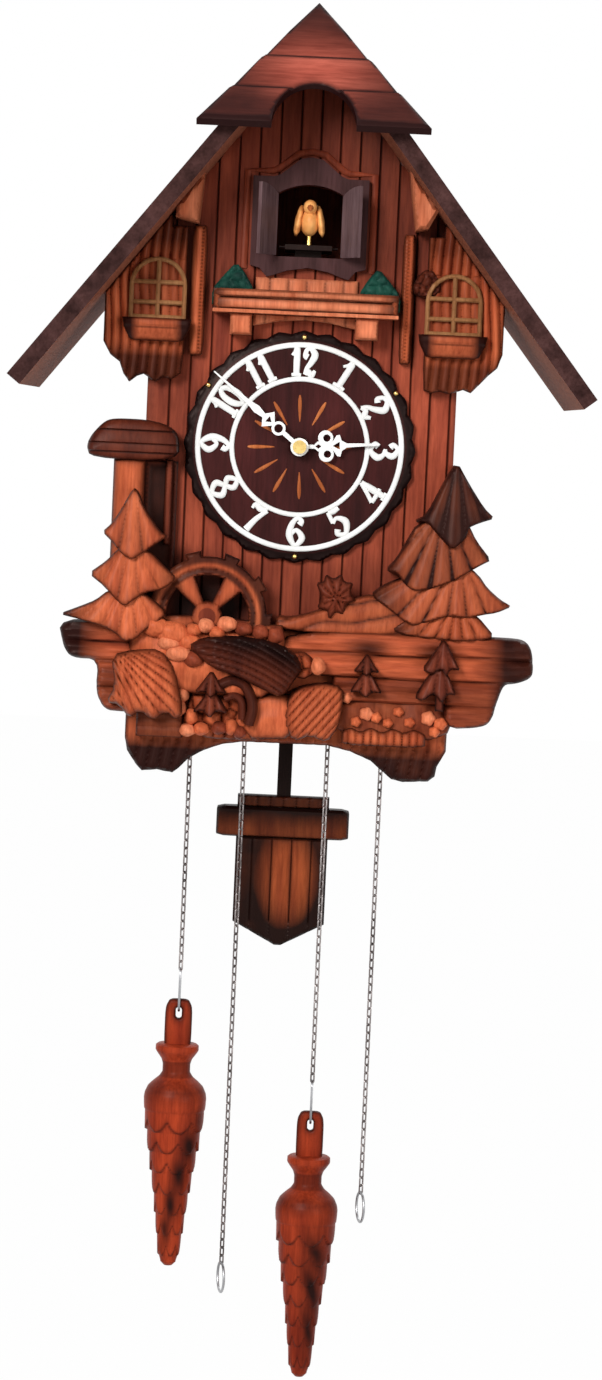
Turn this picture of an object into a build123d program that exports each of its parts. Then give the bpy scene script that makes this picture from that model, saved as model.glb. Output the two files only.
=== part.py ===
from build123d import *
import os
from math import acos, atan2, cos, degrees, hypot, pi, radians, sin, sqrt, tan

# Weight-driven cuckoo clock in the form of a chalet, hung on a wall. All lengths are millimetres.
# Drawn with the dial's centre at height 0 and the wall at depth 0, depths growing towards the viewer.
# Each finished piece is written with the hanger hole at the origin, +Z up and +Y into the wall.

# Case boards
HANGER_UP = 175.0        # hanger hole above the dial's centre
CASE_HALF_W = 92.5
CASE_DEPTH = 120.0       # wall to the face of the front panel
BOARD_T = 8.0            # front panel, sides and floor
BACK_T = 6.0
FLOOR_Z = -178.0         # underside of the floor
PLANK_PITCH = 12.0
PLANK_GROOVE = 0.8
HANGER_HOLE_R = 5.0
HANGER_T = 2.0
HANGER_SIZE = (60.0, 34.0)

# Roof
ROOF_PITCH = 51.9        # degrees
ROOF_T = 9.5
RIDGE_Z = 255.0
EAVE_X = 172.2
ROOF_BACK = 4.0
ROOF_FRONT = CASE_DEPTH + 65.0
HIP_T = 6.0
HIP_HALF_W = 67.8
HIP_FOOT = (CASE_DEPTH + 83.0, 187.0)   # depth and height of the lower front edge
HIP_APEX = (CASE_DEPTH + 15.0, 263.0)
HIP_ARCH = (24.6, 34.0)     # half width and height of the cut-out, along the board

# Dial and hands
DIAL_R = 67.0
DIAL_T = 6.0
DIAL_LOBES = 28
LOBE_R = 6.6
RING_T = 1.5
OUTER_RING = (62.5, 59.2)
INNER_RING = (42.0, 39.0)
HOUR_ANGLE = 85.5        # degrees clockwise from twelve
MINUTE_ANGLE = 309.0
HAND_T = 1.2
HOUR_HAND_OUT = CASE_DEPTH + 10.5    # depth of each hand's back face
MINUTE_HAND_OUT = CASE_DEPTH + 13.5
NUT_R = 4.0
NUT_T = 3.0

# Movement
PLATE_T = 2.0
PLATE_HALF_W = CASE_HALF_W - 10.5
PLATE_Z = (-62.0, 62.0)
BACK_PLATE_OUT = CASE_DEPTH - 66.0
FRONT_PLATE_OUT = BACK_PLATE_OUT + 48.0
PILLAR_R = 4.0
PILLARS = [
    (-PLATE_HALF_W + 6, 54.0), (PLATE_HALF_W - 6, 54.0), (-PLATE_HALF_W + 10, -56.0), (PLATE_HALF_W - 10, -56.0),
]
ARBOR_R = 1.5
PIVOT_CLEAR = 0.04       # radial play of every arbor
PRESSURE_ANGLE = 25.0
BACKLASH = 0.14
GREAT_MODULE = 0.7
TRAIN_MODULE = 0.6
MOTION_MODULE = 0.5
GREAT_TEETH = 110
GREAT_PINION = 16
TRAIN_TEETH = 80
TRAIN_PINION = 12
CANNON_TEETH = 15
MINUTE_WHEEL_TEETH = 45
MINUTE_PINION_TEETH = 12
HOUR_WHEEL_TEETH = 48
WHEEL_T = 2.0
PINION_T = 5.0
GREAT_OUT = BACK_PLATE_OUT + 14.0         # depth of the back of each wheel
STRIKE_OUT = BACK_PLATE_OUT + 30.0
ESCAPE_OUT = BACK_PLATE_OUT + 6.0
SECOND_OUT = BACK_PLATE_OUT + 36.0
ESCAPE_R = 16.0
ESCAPE_TEETH = 30
ANCHOR_Z = 50.0          # pendulum and pallet axis above the dial's centre
CANNON_R = 2.4
HOUR_PIPE_R = 3.6
PIPE_CLEAR = 0.06

# Chains and weights
CHAIN_OUT = BACK_PLATE_OUT + 24.0
CHAIN_R = 16.5           # pitch radius of the chain wheels
CHAIN_WHEEL_X = 42.0
LINK_PLAY = 0.1
LINK_WIDTH = 4.4
CHAIN_HOLE_R = 4.5
GOING_WEIGHT_END = -388.0
GOING_RING_END = -456.0
STRIKE_WEIGHT_END = -322.0
STRIKE_RING_END = -503.5
HOOK_WIRE = 1.6
HOOK_LENGTH = 26.3       # between the middles of the wire at its two ends
WEIGHT_TAB_T = 5.0
PULL_RING_R = 9.2
PULL_RING_WIRE = 1.6

# Pendulum
BOB_OUT = (BACK_PLATE_OUT - 22.0, BACK_PLATE_OUT - 10.0)
ROD_W = 8.7
ROD_T = 4.0
BOB_HALF_W = 28.5
SWING = 5.5              # degrees to each side

# Bird and its doors
DOOR_OPENING_HALF_W = 20.3
DOOR_SILL_Z = 112.8
DOOR_SPRING_Z = 149.7
DOOR_ARCH_Z = 155.7
DOOR_FRAME_T = 6.0
DOOR_T = 2.2
DOOR_OPEN = 120.0        # degrees, as it stands
DOOR_CLEAR = 0.4
HINGE_PIN_R = 0.6
BIRD_TRAVEL = 38.0
CARRIAGE_HALF_W = 14.0
CARRIAGE_TOP_Z = 120.0
SHELF_T = 3.0
SLIDE_CLEAR = 0.3

# Carved front, depths from the wall
WING_OUT = CASE_DEPTH + 14.0
BRACKET_OUT = CASE_DEPTH + 26.0
PLINTH_OUT = CASE_DEPTH + 8.0
BEAM_OUT = CASE_DEPTH + 22.0
FRONT_CARVING_OUT = BEAM_OUT + 15.0
WHEEL_POS = (-50.5, -103.0)
WHEEL_OUT = (CASE_DEPTH + 10.0, CASE_DEPTH + 20.0)
WHEEL_RIM_R = (24.0, 34.5)
WHEEL_PADDLE_R = 39.0
WHEEL_PADDLES = 10
WHEEL_SPOKES = 5
WHEEL_AXLE_R = 2.5


def outline(*points):
    """Closed face through (x, height) points, facing the viewer whichever way they run."""
    doubled = sum(a[0] * b[1] - b[0] * a[1] for a, b in zip(points, points[1:] + points[:1]))
    return Polygon(*(points if doubled > 0 else points[::-1]), align=None)


def flat(sketch, back, front):
    """Flat piece from a sketch of (x, height), between two depths from the wall."""
    return extrude(Plane.XZ.offset(back) * sketch, front - back, dir=(0, -1, 0))


def board(points, back, front):
    """Flat piece cut to an outline of (x, height) points."""
    return flat(outline(*points), back, front)


def rod(x, z, r, back, front):
    """Round bar that runs straight out from the wall."""
    return flat(Pos(x, z) * Circle(r), back, front)


def block(x0, x1, z0, z1, back, front):
    return board([(x0, z0), (x1, z0), (x1, z1), (x0, z1)], back, front)


def mirrored(points):
    return [(-x, z) for x, z in reversed(points)]


def write(name, *solids):
    """Move the piece to the hanger hole's frame and save it."""
    moved = [Pos(0, 0, -HANGER_UP) * solid for solid in solids]
    export_step(moved[0] if len(moved) == 1 else Compound(children=moved), f"parts/{name}.step")


os.makedirs("parts", exist_ok=True)

# Case: four boards round the movement, closed by the front panel, with the gable under the roof
slope = tan(radians(ROOF_PITCH))
roof_drop = ROOF_T / cos(radians(ROOF_PITCH))


def underside(x):
    """Height of the roof's underside."""
    return RIDGE_Z - roof_drop - slope * abs(x)


panel_back = CASE_DEPTH - BOARD_T
floor_top = FLOOR_Z + BOARD_T
gable = [
    (-CASE_HALF_W, FLOOR_Z),
    (CASE_HALF_W, FLOOR_Z),
    (CASE_HALF_W, underside(CASE_HALF_W)),
    (0, underside(0)),
    (-CASE_HALF_W, underside(CASE_HALF_W)),
]
inner_half_w = CASE_HALF_W - BOARD_T
side = [
    (inner_half_w, floor_top),
    (CASE_HALF_W, floor_top),
    (CASE_HALF_W, underside(CASE_HALF_W)),
    (inner_half_w, underside(inner_half_w)),
]
write("case_sides", board(side, BACK_T, panel_back), board(mirrored(side), BACK_T, panel_back))

hanger_w, hanger_h = HANGER_SIZE
hanger_face = Pos(0, HANGER_UP) * RectangleRounded(hanger_w, hanger_h, 5)
hanger_hole = Pos(0, HANGER_UP) * Circle(HANGER_HOLE_R)
nail_room = Pos(0, HANGER_UP) * Circle(2 * HANGER_HOLE_R)
back_panel = board(gable, 0, BACK_T)
back_panel -= flat(hanger_face, 0, HANGER_T)
back_panel -= flat(nail_room, 0, BACK_T)
write("back_panel", back_panel)
write("hanger_plate", flat(hanger_face - hanger_hole, 0, HANGER_T))

pendulum_slot = (ANCHOR_Z - floor_top) * tan(radians(SWING)) + ROD_W
bob_mid = sum(BOB_OUT) / 2
chain_x = [hand * CHAIN_WHEEL_X + turn * CHAIN_R for hand in (-1, 1) for turn in (-1, 1)]
case_floor = block(-CASE_HALF_W, CASE_HALF_W, FLOOR_Z, floor_top, BACK_T, panel_back)
case_floor -= block(-pendulum_slot, pendulum_slot, FLOOR_Z, floor_top, bob_mid - 2 * ROD_T, bob_mid + 2 * ROD_T)
for x in chain_x:
    case_floor -= Pos(x, -CHAIN_OUT, FLOOR_Z + BOARD_T / 2) * Cylinder(CHAIN_HOLE_R, BOARD_T)
write("case_floor", case_floor)

door_arch = make_face(
    Polyline(
        (-DOOR_OPENING_HALF_W, DOOR_SPRING_Z),
        (-DOOR_OPENING_HALF_W, DOOR_SILL_Z),
        (DOOR_OPENING_HALF_W, DOOR_SILL_Z),
        (DOOR_OPENING_HALF_W, DOOR_SPRING_Z),
    )
    + ThreePointArc(
        (DOOR_OPENING_HALF_W, DOOR_SPRING_Z), (0, DOOR_ARCH_Z), (-DOOR_OPENING_HALF_W, DOOR_SPRING_Z)
    )
)
hour_pipe_hole = HOUR_PIPE_R + 0.6
front_panel = board(gable, panel_back, CASE_DEPTH)
front_panel -= flat(door_arch, panel_back, CASE_DEPTH)
front_panel -= rod(0, 0, hour_pipe_hole, panel_back, CASE_DEPTH)
for count in range(-4, 4):
    x = PLANK_PITCH * (count + 0.4)
    groove = block(
        x - PLANK_GROOVE / 2, x + PLANK_GROOVE / 2, 0, RIDGE_Z, CASE_DEPTH - PLANK_GROOVE, CASE_DEPTH
    )
    front_panel -= groove
write("front_panel", front_panel)

# Roof: two boards mitred at the ridge and cut back under the leaning hip board
foot_out, foot_z = HIP_FOOT
apex_out, apex_z = HIP_APEX
hip_length = hypot(foot_out - apex_out, apex_z - foot_z)
hip_normal = (0, -(apex_z - foot_z) / hip_length, (foot_out - apex_out) / hip_length)
hip_plane = Plane(origin=(0, -foot_out, foot_z), x_dir=(1, 0, 0), z_dir=hip_normal)
eave_outer = (EAVE_X, RIDGE_Z - slope * EAVE_X)
eave_inner = (
    EAVE_X - ROOF_T * sin(radians(ROOF_PITCH)),
    eave_outer[1] - ROOF_T * cos(radians(ROOF_PITCH)),
)
roof_section = [(0, underside(0)), eave_inner, eave_outer, (0, RIDGE_Z)]
hip_underside = hip_plane.offset(-HIP_T)
roof_boards = []
for points in (roof_section, mirrored(roof_section)):
    roof_boards.append(split(board(points, ROOF_BACK, ROOF_FRONT), bisect_by=hip_underside, keep=Keep.BOTTOM))
write("roof_boards", *roof_boards)

arch_half_w, arch_h = HIP_ARCH
hip_face = outline((-HIP_HALF_W, 0), (HIP_HALF_W, 0), (0, hip_length))
hip_face -= make_face(
    Polyline((-arch_half_w, 0), (arch_half_w, 0))
    + ThreePointArc((arch_half_w, 0), (0, arch_h), (-arch_half_w, 0))
)
write("roof_hip", extrude(hip_plane * hip_face, -HIP_T, dir=hip_normal))

# Upper front: brackets under the eaves, shingled wings with windows, door frame and balcony
bracket_left = [(-63, underside(63)), (-65.5, 129.5), (-79, 132.5), (-79, underside(79))]
bracket_right = [(58, underside(58)), (63, 130.5), (70.5, 132), (76, underside(76))]
write("eave_brackets", board(bracket_left, CASE_DEPTH, BRACKET_OUT), board(bracket_right, CASE_DEPTH, BRACKET_OUT))

WING_INNER = 81.0         # where the wings pass the brackets
wing_left = [
    (-119.5, 58), (-115, 50), (-109.4, 46), (-106.7, 39), (-103.3, 34.5), (-99, 38), (-95, 39.5), (-88, 35),
    (-83, 38), (-78, 37), (-73, 40.5), (-71.7, 54), (-71.7, 128),
    (-WING_INNER, 128), (-WING_INNER, underside(WING_INNER)), (-119.5, underside(119.5)),
]
wing_right = [
    (118.3, underside(118.3)), (WING_INNER, underside(WING_INNER)), (WING_INNER, 128), (71.7, 128), (71.7, 49.5),
    (72.5, 37), (77, 35.5), (82, 36.7), (88, 35.5), (96, 38.3), (100.5, 36.7), (105.5, 42), (110, 47),
    (115.5, 52), (118.3, 60),
]
write(
    "gable_wings",
    board(wing_left, CASE_DEPTH, WING_OUT),
    board(wing_right, CASE_DEPTH, WING_OUT),
    block(-69, -60, 52, 129, CASE_DEPTH, WING_OUT - 6),
    block(56.5, 64, 52, 129, CASE_DEPTH, WING_OUT - 6),
)

WINDOW_BAR = 2.3
WINDOW_T = 2.5
WINDOW_W = 34.0
WINDOW_H = 37.0
WINDOWS = [(-88.0, 72.0), (88.0, 69.5)]     # middle and sill height of each
BOX_HALF_W = 20.5
BOX_H = 13.0
BOX_OUT = WING_OUT + 13.0
BOX_BOW = 6.0


def window(x, sill):
    """Arched frame with a mullion and two glazing bars."""
    outer = Pos(x, sill + WINDOW_H / 2) * Rectangle(WINDOW_W, WINDOW_H)
    inner_w = WINDOW_W - 2 * WINDOW_BAR
    outer = fillet(outer.vertices().group_by(Axis.Y)[-1], WINDOW_W / 3)
    inner = offset(outer, -WINDOW_BAR)
    bars = Pos(x, sill + WINDOW_H / 2) * Rectangle(WINDOW_BAR, WINDOW_H - WINDOW_BAR)
    for share in (0.24, 0.55):
        bars += Pos(x, sill + share * WINDOW_H) * Rectangle(inner_w + WINDOW_BAR, WINDOW_BAR)
    return flat(outer - inner + bars, WING_OUT, WING_OUT + WINDOW_T)


def flower_box(x, top):
    """Box under a window, bowed out in the middle."""
    end = -BOX_OUT + BOX_BOW
    plan = make_face(
        Polyline((-BOX_HALF_W, end), (-BOX_HALF_W, -WING_OUT), (BOX_HALF_W, -WING_OUT), (BOX_HALF_W, end))
        + ThreePointArc((BOX_HALF_W, end), (0, -BOX_OUT), (-BOX_HALF_W, end))
    )
    return extrude(Pos(x, 0, top - BOX_H) * plan, BOX_H, dir=(0, 0, 1))


write("window_frames", *[window(x, sill) for x, sill in WINDOWS])
write("flower_boxes", *[flower_box(x, sill) for x, sill in WINDOWS])

frame_out = CASE_DEPTH + DOOR_FRAME_T
frame_right = [
    (0, 172), (6.5, 171), (13.3, 165.3), (18, 161.6), (22, 160), (34.5, 160), (34.5, 107), (33.5, 106.7),
    (28.7, 105.5), (24.4, 100.5), (20.4, 101.6), (12.5, 104.5), (0, 106.6),
]
frame_outline = frame_right + mirrored(frame_right)[1:-1]
hinge_x = DOOR_OPENING_HALF_W + 0.9
hinge_out = frame_out + 1.3
lug_z = (DOOR_SILL_Z + 3, DOOR_SPRING_Z - 5)
LUG_H = 2.4
bird_door_frame = flat(outline(*frame_outline) - door_arch, CASE_DEPTH, frame_out)
for side in (-1, 1):
    pin_z = (lug_z[0] + lug_z[1] + LUG_H) / 2
    pin = Pos(side * hinge_x, -hinge_out, pin_z) * Cylinder(HINGE_PIN_R, lug_z[1] - lug_z[0] + LUG_H)
    bird_door_frame += pin
    for z in lug_z:
        bird_door_frame += Pos(side * hinge_x, -hinge_out, z + LUG_H / 2) * Cylinder(1.3, LUG_H)
        bird_door_frame += block(
            side * hinge_x - 1.2 * (side < 0), side * hinge_x + 1.2 * (side > 0), z, z + LUG_H, frame_out, hinge_out
        )
write("bird_door_frame", bird_door_frame)


def door(side):
    """Half of the arched pair, hung on its pin and swung open."""
    edge = DOOR_OPENING_HALF_W - DOOR_CLEAR
    leaf = flat(offset(door_arch, -DOOR_CLEAR, kind=Kind.INTERSECTION), frame_out - DOOR_T + 0.3, frame_out + 0.3)
    keep = block(0, edge, DOOR_SILL_Z, DOOR_ARCH_Z, CASE_DEPTH, frame_out + 1)
    leaf = leaf & Pos(DOOR_CLEAR, 0, 0) * keep
    barrel_z = (lug_z[0] + LUG_H + DOOR_CLEAR, lug_z[1] - DOOR_CLEAR)
    height = barrel_z[1] - barrel_z[0]
    middle = sum(barrel_z) / 2
    barrel = Pos(hinge_x, -hinge_out, middle) * Cylinder(1.1, height)
    web = block(edge - 3, hinge_x, barrel_z[0], barrel_z[1], frame_out + 0.3, hinge_out + 0.5)
    bore = Pos(hinge_x, -hinge_out, middle) * Cylinder(HINGE_PIN_R + PIVOT_CLEAR, height)
    leaf = leaf + web + barrel - bore
    axis = Axis((hinge_x, -hinge_out, 0), (0, 0, 1))
    leaf = leaf.rotate(axis, DOOR_OPEN)
    return leaf if side > 0 else leaf.mirror(Plane.YZ)


write("bird_door_right", door(1))
write("bird_door_left", door(-1))

RAIL_HALF_W = 55.0
RAIL_Z = (80.0, 92.0)
RAIL_OUT = CASE_DEPTH + 28.0
RAIL_T = 5.0
DECK_T = 2.0
deck_z = RAIL_Z[0] - DECK_T
deck = block(-RAIL_HALF_W, RAIL_HALF_W, deck_z, RAIL_Z[0], CASE_DEPTH, RAIL_OUT - 3)
write(
    "balcony_deck",
    deck,
    block(-44.5, -31.6, 65.2, deck_z, CASE_DEPTH, CASE_DEPTH + 20),
    block(30, 43.4, 65.2, deck_z, CASE_DEPTH, CASE_DEPTH + 20),
    block(-30.5, 30.5, RAIL_Z[0], 100.0, CASE_DEPTH, CASE_DEPTH + 3),
)
RAIL_BOW = 8.0            # how far the ends lie behind the middle
rail_end = RAIL_OUT - RAIL_BOW
rail_back = rail_end - RAIL_T
rail_plan = make_face(
    Polyline((-RAIL_HALF_W, -rail_end), (-RAIL_HALF_W, -rail_back))
    + ThreePointArc((-RAIL_HALF_W, -rail_back), (0, -RAIL_OUT + RAIL_T), (RAIL_HALF_W, -rail_back))
    + Polyline((RAIL_HALF_W, -rail_back), (RAIL_HALF_W, -rail_end))
    + ThreePointArc((RAIL_HALF_W, -rail_end), (0, -RAIL_OUT), (-RAIL_HALF_W, -rail_end))
)
write("balcony_rail", extrude(Pos(0, 0, RAIL_Z[0]) * rail_plan, RAIL_Z[1] - RAIL_Z[0], dir=(0, 0, 1)))
HEDGE_OUT = (CASE_DEPTH + 3.0, CASE_DEPTH + 13.0)
hedge = [(-56, RAIL_Z[0]), (-56, 92), (-49.5, 100), (-42.4, 108), (-37, 102), (-31, 92), (-31, RAIL_Z[0])]
write("balcony_hedges", board(hedge, *HEDGE_OUT), board(mirrored(hedge), *HEDGE_OUT))

# Dial with its lobed rim, white rings and pins
dial_face = Circle(DIAL_R)
for count in range(DIAL_LOBES):
    turn = 2 * pi * count / DIAL_LOBES
    lobe_at = DIAL_R + 2.5 - LOBE_R
    dial_face += Pos(lobe_at * cos(turn), lobe_at * sin(turn)) * Circle(LOBE_R)
dial_face -= Circle(hour_pipe_hole)
dial_out = CASE_DEPTH + DIAL_T
write("dial_disc", flat(dial_face, CASE_DEPTH, dial_out))
rings = [flat(Circle(outer) - Circle(inner), dial_out, dial_out + RING_T) for outer, inner in (OUTER_RING, INNER_RING)]
DIAL_PINS = [(-56.0, 34.5), (56.0, 34.5), (0, -65.5), (0, 65.5)]
pins = [rod(x, z, 1.2, dial_out, dial_out + 1.8) for x, z in DIAL_PINS]
write("dial_trim", *rings, *pins)

# Carved scene round the dial: mill tower, pines, hills, log beams, thatch, stones and the plinth with its feet
plinth = [
    (-97, -109), (-97, -178.5), (-95.4, -186), (-90, -194), (-86, -198), (-77, -197), (-67.7, -198.5),
    (-63.8, -195.4), (-57.7, -189), (-49, -184), (-38.5, -180), (-26, -178), (24.6, -178), (38.5, -181), (51, -186),
    (57, -191), (64, -196.6), (71, -198), (86, -197), (90, -194), (91, -188), (96, -178.5), (96.6, -109),
]
write("plinth_board", board(plinth, CASE_DEPTH, PLINTH_OUT))

tower_roof = [
    (-126.5, -4.6), (-123, 3), (-115.4, 10.8), (-109, 12.3), (-92.3, 12.3), (-80, 10), (-72.3, 4.6), (-71.5, -12),
    (-123.8, -12),
]
BEAM_TOP = -108.0
tower_post = [(-110, -12), (-110, BEAM_TOP), (-91, BEAM_TOP), (-91, -12)]
write("mill_tower", board(tower_roof, CASE_DEPTH, CASE_DEPTH + 30), board(tower_post, CASE_DEPTH, BEAM_OUT))

pine_left = [
    (-97, -28), (-93.8, -31), (-90, -40), (-80, -54), (-75.4, -56), (-82, -61), (-84, -66), (-77, -74), (-69, -81),
    (-77, -87.7), (-80, -92), (-74, -101.5), (-83, -108.5), (-92, -118), (-98.5, -119), (-109, -112), (-126, -106),
    (-137, -105.4), (-126, -102), (-119, -98.5), (-113, -90), (-121.5, -80), (-111, -72), (-108, -62),
    (-114.3, -55), (-109, -50), (-104, -42),
]
pine_right = [
    (94, -4.6), (101.5, -17), (111, -31), (117.7, -37), (107.7, -40.5), (102.6, -41.5), (107.7, -51), (117, -62),
    (111, -64.6), (110, -71), (115.4, -78.5), (124.6, -86), (130.5, -89), (121.5, -92.6), (111.5, -93), (111, -100),
    (121.5, BEAM_TOP), (92, BEAM_TOP), (85, -95), (78.5, -80), (71.5, -82), (66, -78.5), (61.5, -72), (54.6, -71),
    (61.5, -63), (67, -52), (70, -41), (77.7, -37), (87.7, -15.4),
]
write(
    "tall_pines",
    board(pine_left, BEAM_OUT, FRONT_CARVING_OUT),
    board(pine_right, CASE_DEPTH, BEAM_OUT + 6),
)
HILL_OUT = CASE_DEPTH + 18.0
hills = [
    (-8, BEAM_TOP), (-8, -103), (0, -101.5), (11, -98.5), (31, -91), (40, -87.7), (46, -86), (66, -98), (78, -97),
    (83.5, -96.5), (91, BEAM_TOP),
]
write("hills", board(hills, CASE_DEPTH, HILL_OUT))
shrub = [(18, -88), (17, -82), (22, -75), (28, -76), (32, -84), (31, -96), (24, -101), (19, -97)]

beam_left = [
    (-139, BEAM_TOP), (-135.4, -124.6), (-130, -131.5), (-114, -131.5), (-115, -151), (-109, -161.5), (-99, -162),
    (-91, -162), (-91, BEAM_TOP),
]
beam_right = [
    (-8, BEAM_TOP), (-8, -136), (100, -136), (100, -164), (117, -162), (122, -157), (124.6, -146), (128, -136),
    (135.4, -135), (143, -132), (145.4, -128), (144, -115), (140, -109), (128, BEAM_TOP),
]
write("log_beams", board(beam_left, PLINTH_OUT, BEAM_OUT), board(beam_right, PLINTH_OUT, BEAM_OUT))

THATCH_OUT = BEAM_OUT + 18.0
cottage_roof = [
    (-106, -128), (-77, -123), (-68, -134), (-61.5, -160), (-70, -164), (-80, -161), (-90, -163), (-100, -158.5),
    (-108, -155), (-101, -145),
]
mill_roof = [(-60, -119), (-34, -115.4), (0, -120), (-5, -145), (-29, -135), (-46, -131)]
cottage_wall = [(-90, -176), (-62, -176), (-62, -146), (-90, -146)]
write(
    "thatched_cottages",
    board(cottage_roof, BEAM_OUT, THATCH_OUT),
    board(mill_roof, BEAM_OUT, THATCH_OUT),
    board(cottage_wall, PLINTH_OUT, BEAM_OUT),
)

fir_right = [
    (91, -109), (97, -120), (101.5, -128), (95, -129), (100, -143), (93, -146), (93, -152), (82, -152), (82, -146),
    (74.6, -145.4), (83, -130), (78.5, -128.5), (85, -119),
]
fir_middle = [(46, -120), (53.8, -131.5), (50, -132), (56, -144), (36, -144), (42, -132), (37.7, -131.5)]
write("small_firs", board(fir_right, BEAM_OUT, BEAM_OUT + 12), board(fir_middle, BEAM_OUT, BEAM_OUT + 10))
fan = [(0, -146), (8, -142), (32, -141), (31, -165), (24, -174), (4, -174), (-2, -164)]
grass = [(33, -163), (44, -160), (58, -164), (68, -161), (76, -166), (76, -177), (33, -177)]
rocks_left = [(-60, -150), (-52, -145), (-40, -144), (-30, -147), (-24, -155), (-4, -158), (-4, -175), (-60, -175)]
rocks_right = [(64, -152), (74, -147), (92, -150), (96, -160), (94, -176), (78, -176), (78, -160), (64, -159)]
stones = [(1, -124), (13, -124), (14, -134), (1, -135)]
write(
    "undergrowth",
    board(fan, PLINTH_OUT, PLINTH_OUT + 22),
    board(grass, PLINTH_OUT, PLINTH_OUT + 12),
    board(shrub, HILL_OUT, HILL_OUT + 9),
)
write(
    "boulders",
    board(rocks_left, PLINTH_OUT, PLINTH_OUT + 20),
    board(rocks_right, PLINTH_OUT, BEAM_OUT),
    board(stones, BEAM_OUT, BEAM_OUT + 7),
)

# Water wheel on its axle pin
wheel_x, wheel_z = WHEEL_POS
wheel_back, wheel_front = WHEEL_OUT
rim_in, rim_out = WHEEL_RIM_R
WHEEL_HUB_R = 9.0
wheel_face = Circle(rim_out) - Circle(rim_in) + Circle(WHEEL_HUB_R)
for count in range(WHEEL_SPOKES):
    spoke = outline((0, -2), (rim_in + 1, -5), (rim_in + 1, 5), (0, 2))
    wheel_face += Rot(0, 0, 53 + 360 * count / WHEEL_SPOKES) * spoke
for count in range(WHEEL_PADDLES):
    paddle = outline((rim_out - 1, -4), (WHEEL_PADDLE_R, -5), (WHEEL_PADDLE_R, 5), (rim_out - 1, 4))
    wheel_face += Rot(0, 0, 105 + 360 * count / WHEEL_PADDLES) * paddle
wheel_face -= Circle(WHEEL_AXLE_R + PIVOT_CLEAR)
write("water_wheel", flat(Pos(wheel_x, wheel_z) * wheel_face, wheel_back, wheel_front))
axle = rod(wheel_x, wheel_z, WHEEL_AXLE_R, CASE_DEPTH, wheel_front + 1)
axle += rod(wheel_x, wheel_z, 2 * WHEEL_AXLE_R, CASE_DEPTH, wheel_back - 0.3)
axle += rod(wheel_x, wheel_z, 2 * WHEEL_AXLE_R, wheel_front + 0.3, wheel_front + 1.6)
write("wheel_axle", axle)


# Movement: brass plates on pillars, two trains of wheels and the motion work behind the dial
def polar(r, turn):
    return (r * cos(turn), r * sin(turn))


def gear(teeth, module, aim, tooth=True):
    """Tooth outline with involute flanks; a tooth, or else a gap, points along aim (degrees)."""
    pitch_r = teeth * module / 2
    base_r = pitch_r * cos(radians(PRESSURE_ANGLE))
    tip_r = pitch_r + 0.95 * module
    root_r = pitch_r - 1.25 * module
    start_r = max(base_r, root_r)

    def half_angle(r):
        lean = acos(min(1.0, base_r / r))
        pitch_lean = radians(PRESSURE_ANGLE)
        at_pitch = pi / (2 * teeth) - BACKLASH / (4 * pitch_r)
        return at_pitch + (tan(pitch_lean) - pitch_lean) - (tan(lean) - lean)

    middle_r = (start_r + tip_r) / 2
    step = 2 * pi / teeth
    first = radians(aim) + (0 if tooth else step / 2)
    edges = []
    for count in range(teeth):
        turn = first + count * step
        rise = [polar(r, turn - half_angle(r)) for r in (start_r, middle_r, tip_r)]
        fall = [polar(r, turn + half_angle(r)) for r in (tip_r, middle_r, start_r)]
        foot = polar(root_r, turn - half_angle(start_r))
        heel = polar(root_r, turn + half_angle(start_r))
        following = polar(root_r, turn + step - half_angle(start_r))
        if start_r > root_r:
            edges.append(Line(foot, rise[0]))
            edges.append(Line(fall[2], heel))
        edges.append(ThreePointArc(*rise))
        edges.append(Line(rise[2], fall[0]))
        edges.append(ThreePointArc(*fall))
        edges.append(Line(heel, following))
    return make_face(Wire(edges))


def wheel(at, face, back, thickness, bore=0.0):
    """Gear or disc at (x, height), with its bore if it turns on something."""
    if bore:
        face = face - Circle(bore)
    return flat(Pos(*at) * face, back, back + thickness)


def aim(here, there):
    return degrees(atan2(there[1] - here[1], there[0] - here[0]))


running_bore = ARBOR_R + PIVOT_CLEAR
great_distance = (GREAT_TEETH + GREAT_PINION) * GREAT_MODULE / 2
train_distance = (TRAIN_TEETH + TRAIN_PINION) * TRAIN_MODULE / 2
motion_distance = (CANNON_TEETH + MINUTE_WHEEL_TEETH) * MOTION_MODULE / 2
chain_z = -(great_distance**2 - CHAIN_WHEEL_X**2) ** 0.5
centre_at = (0.0, 0.0)
going_at = (CHAIN_WHEEL_X, chain_z)
strike_at = (-CHAIN_WHEEL_X, chain_z)
escape_at = (0.0, train_distance)
anchor_at = (0.0, ANCHOR_Z)
minute_stud_at = (0.0, -motion_distance)
STRIKE_LEAN = 100.0      # direction from the strike great wheel to its second arbor, degrees
FLY_LEAN = 60.0
turn = radians(STRIKE_LEAN)
second_at = (strike_at[0] + great_distance * cos(turn), strike_at[1] + great_distance * sin(turn))
turn = radians(FLY_LEAN)
fly_at = (second_at[0] + train_distance * cos(turn), second_at[1] + train_distance * sin(turn))
arbors = [centre_at, going_at, strike_at, escape_at, anchor_at, second_at, fly_at]

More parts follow.
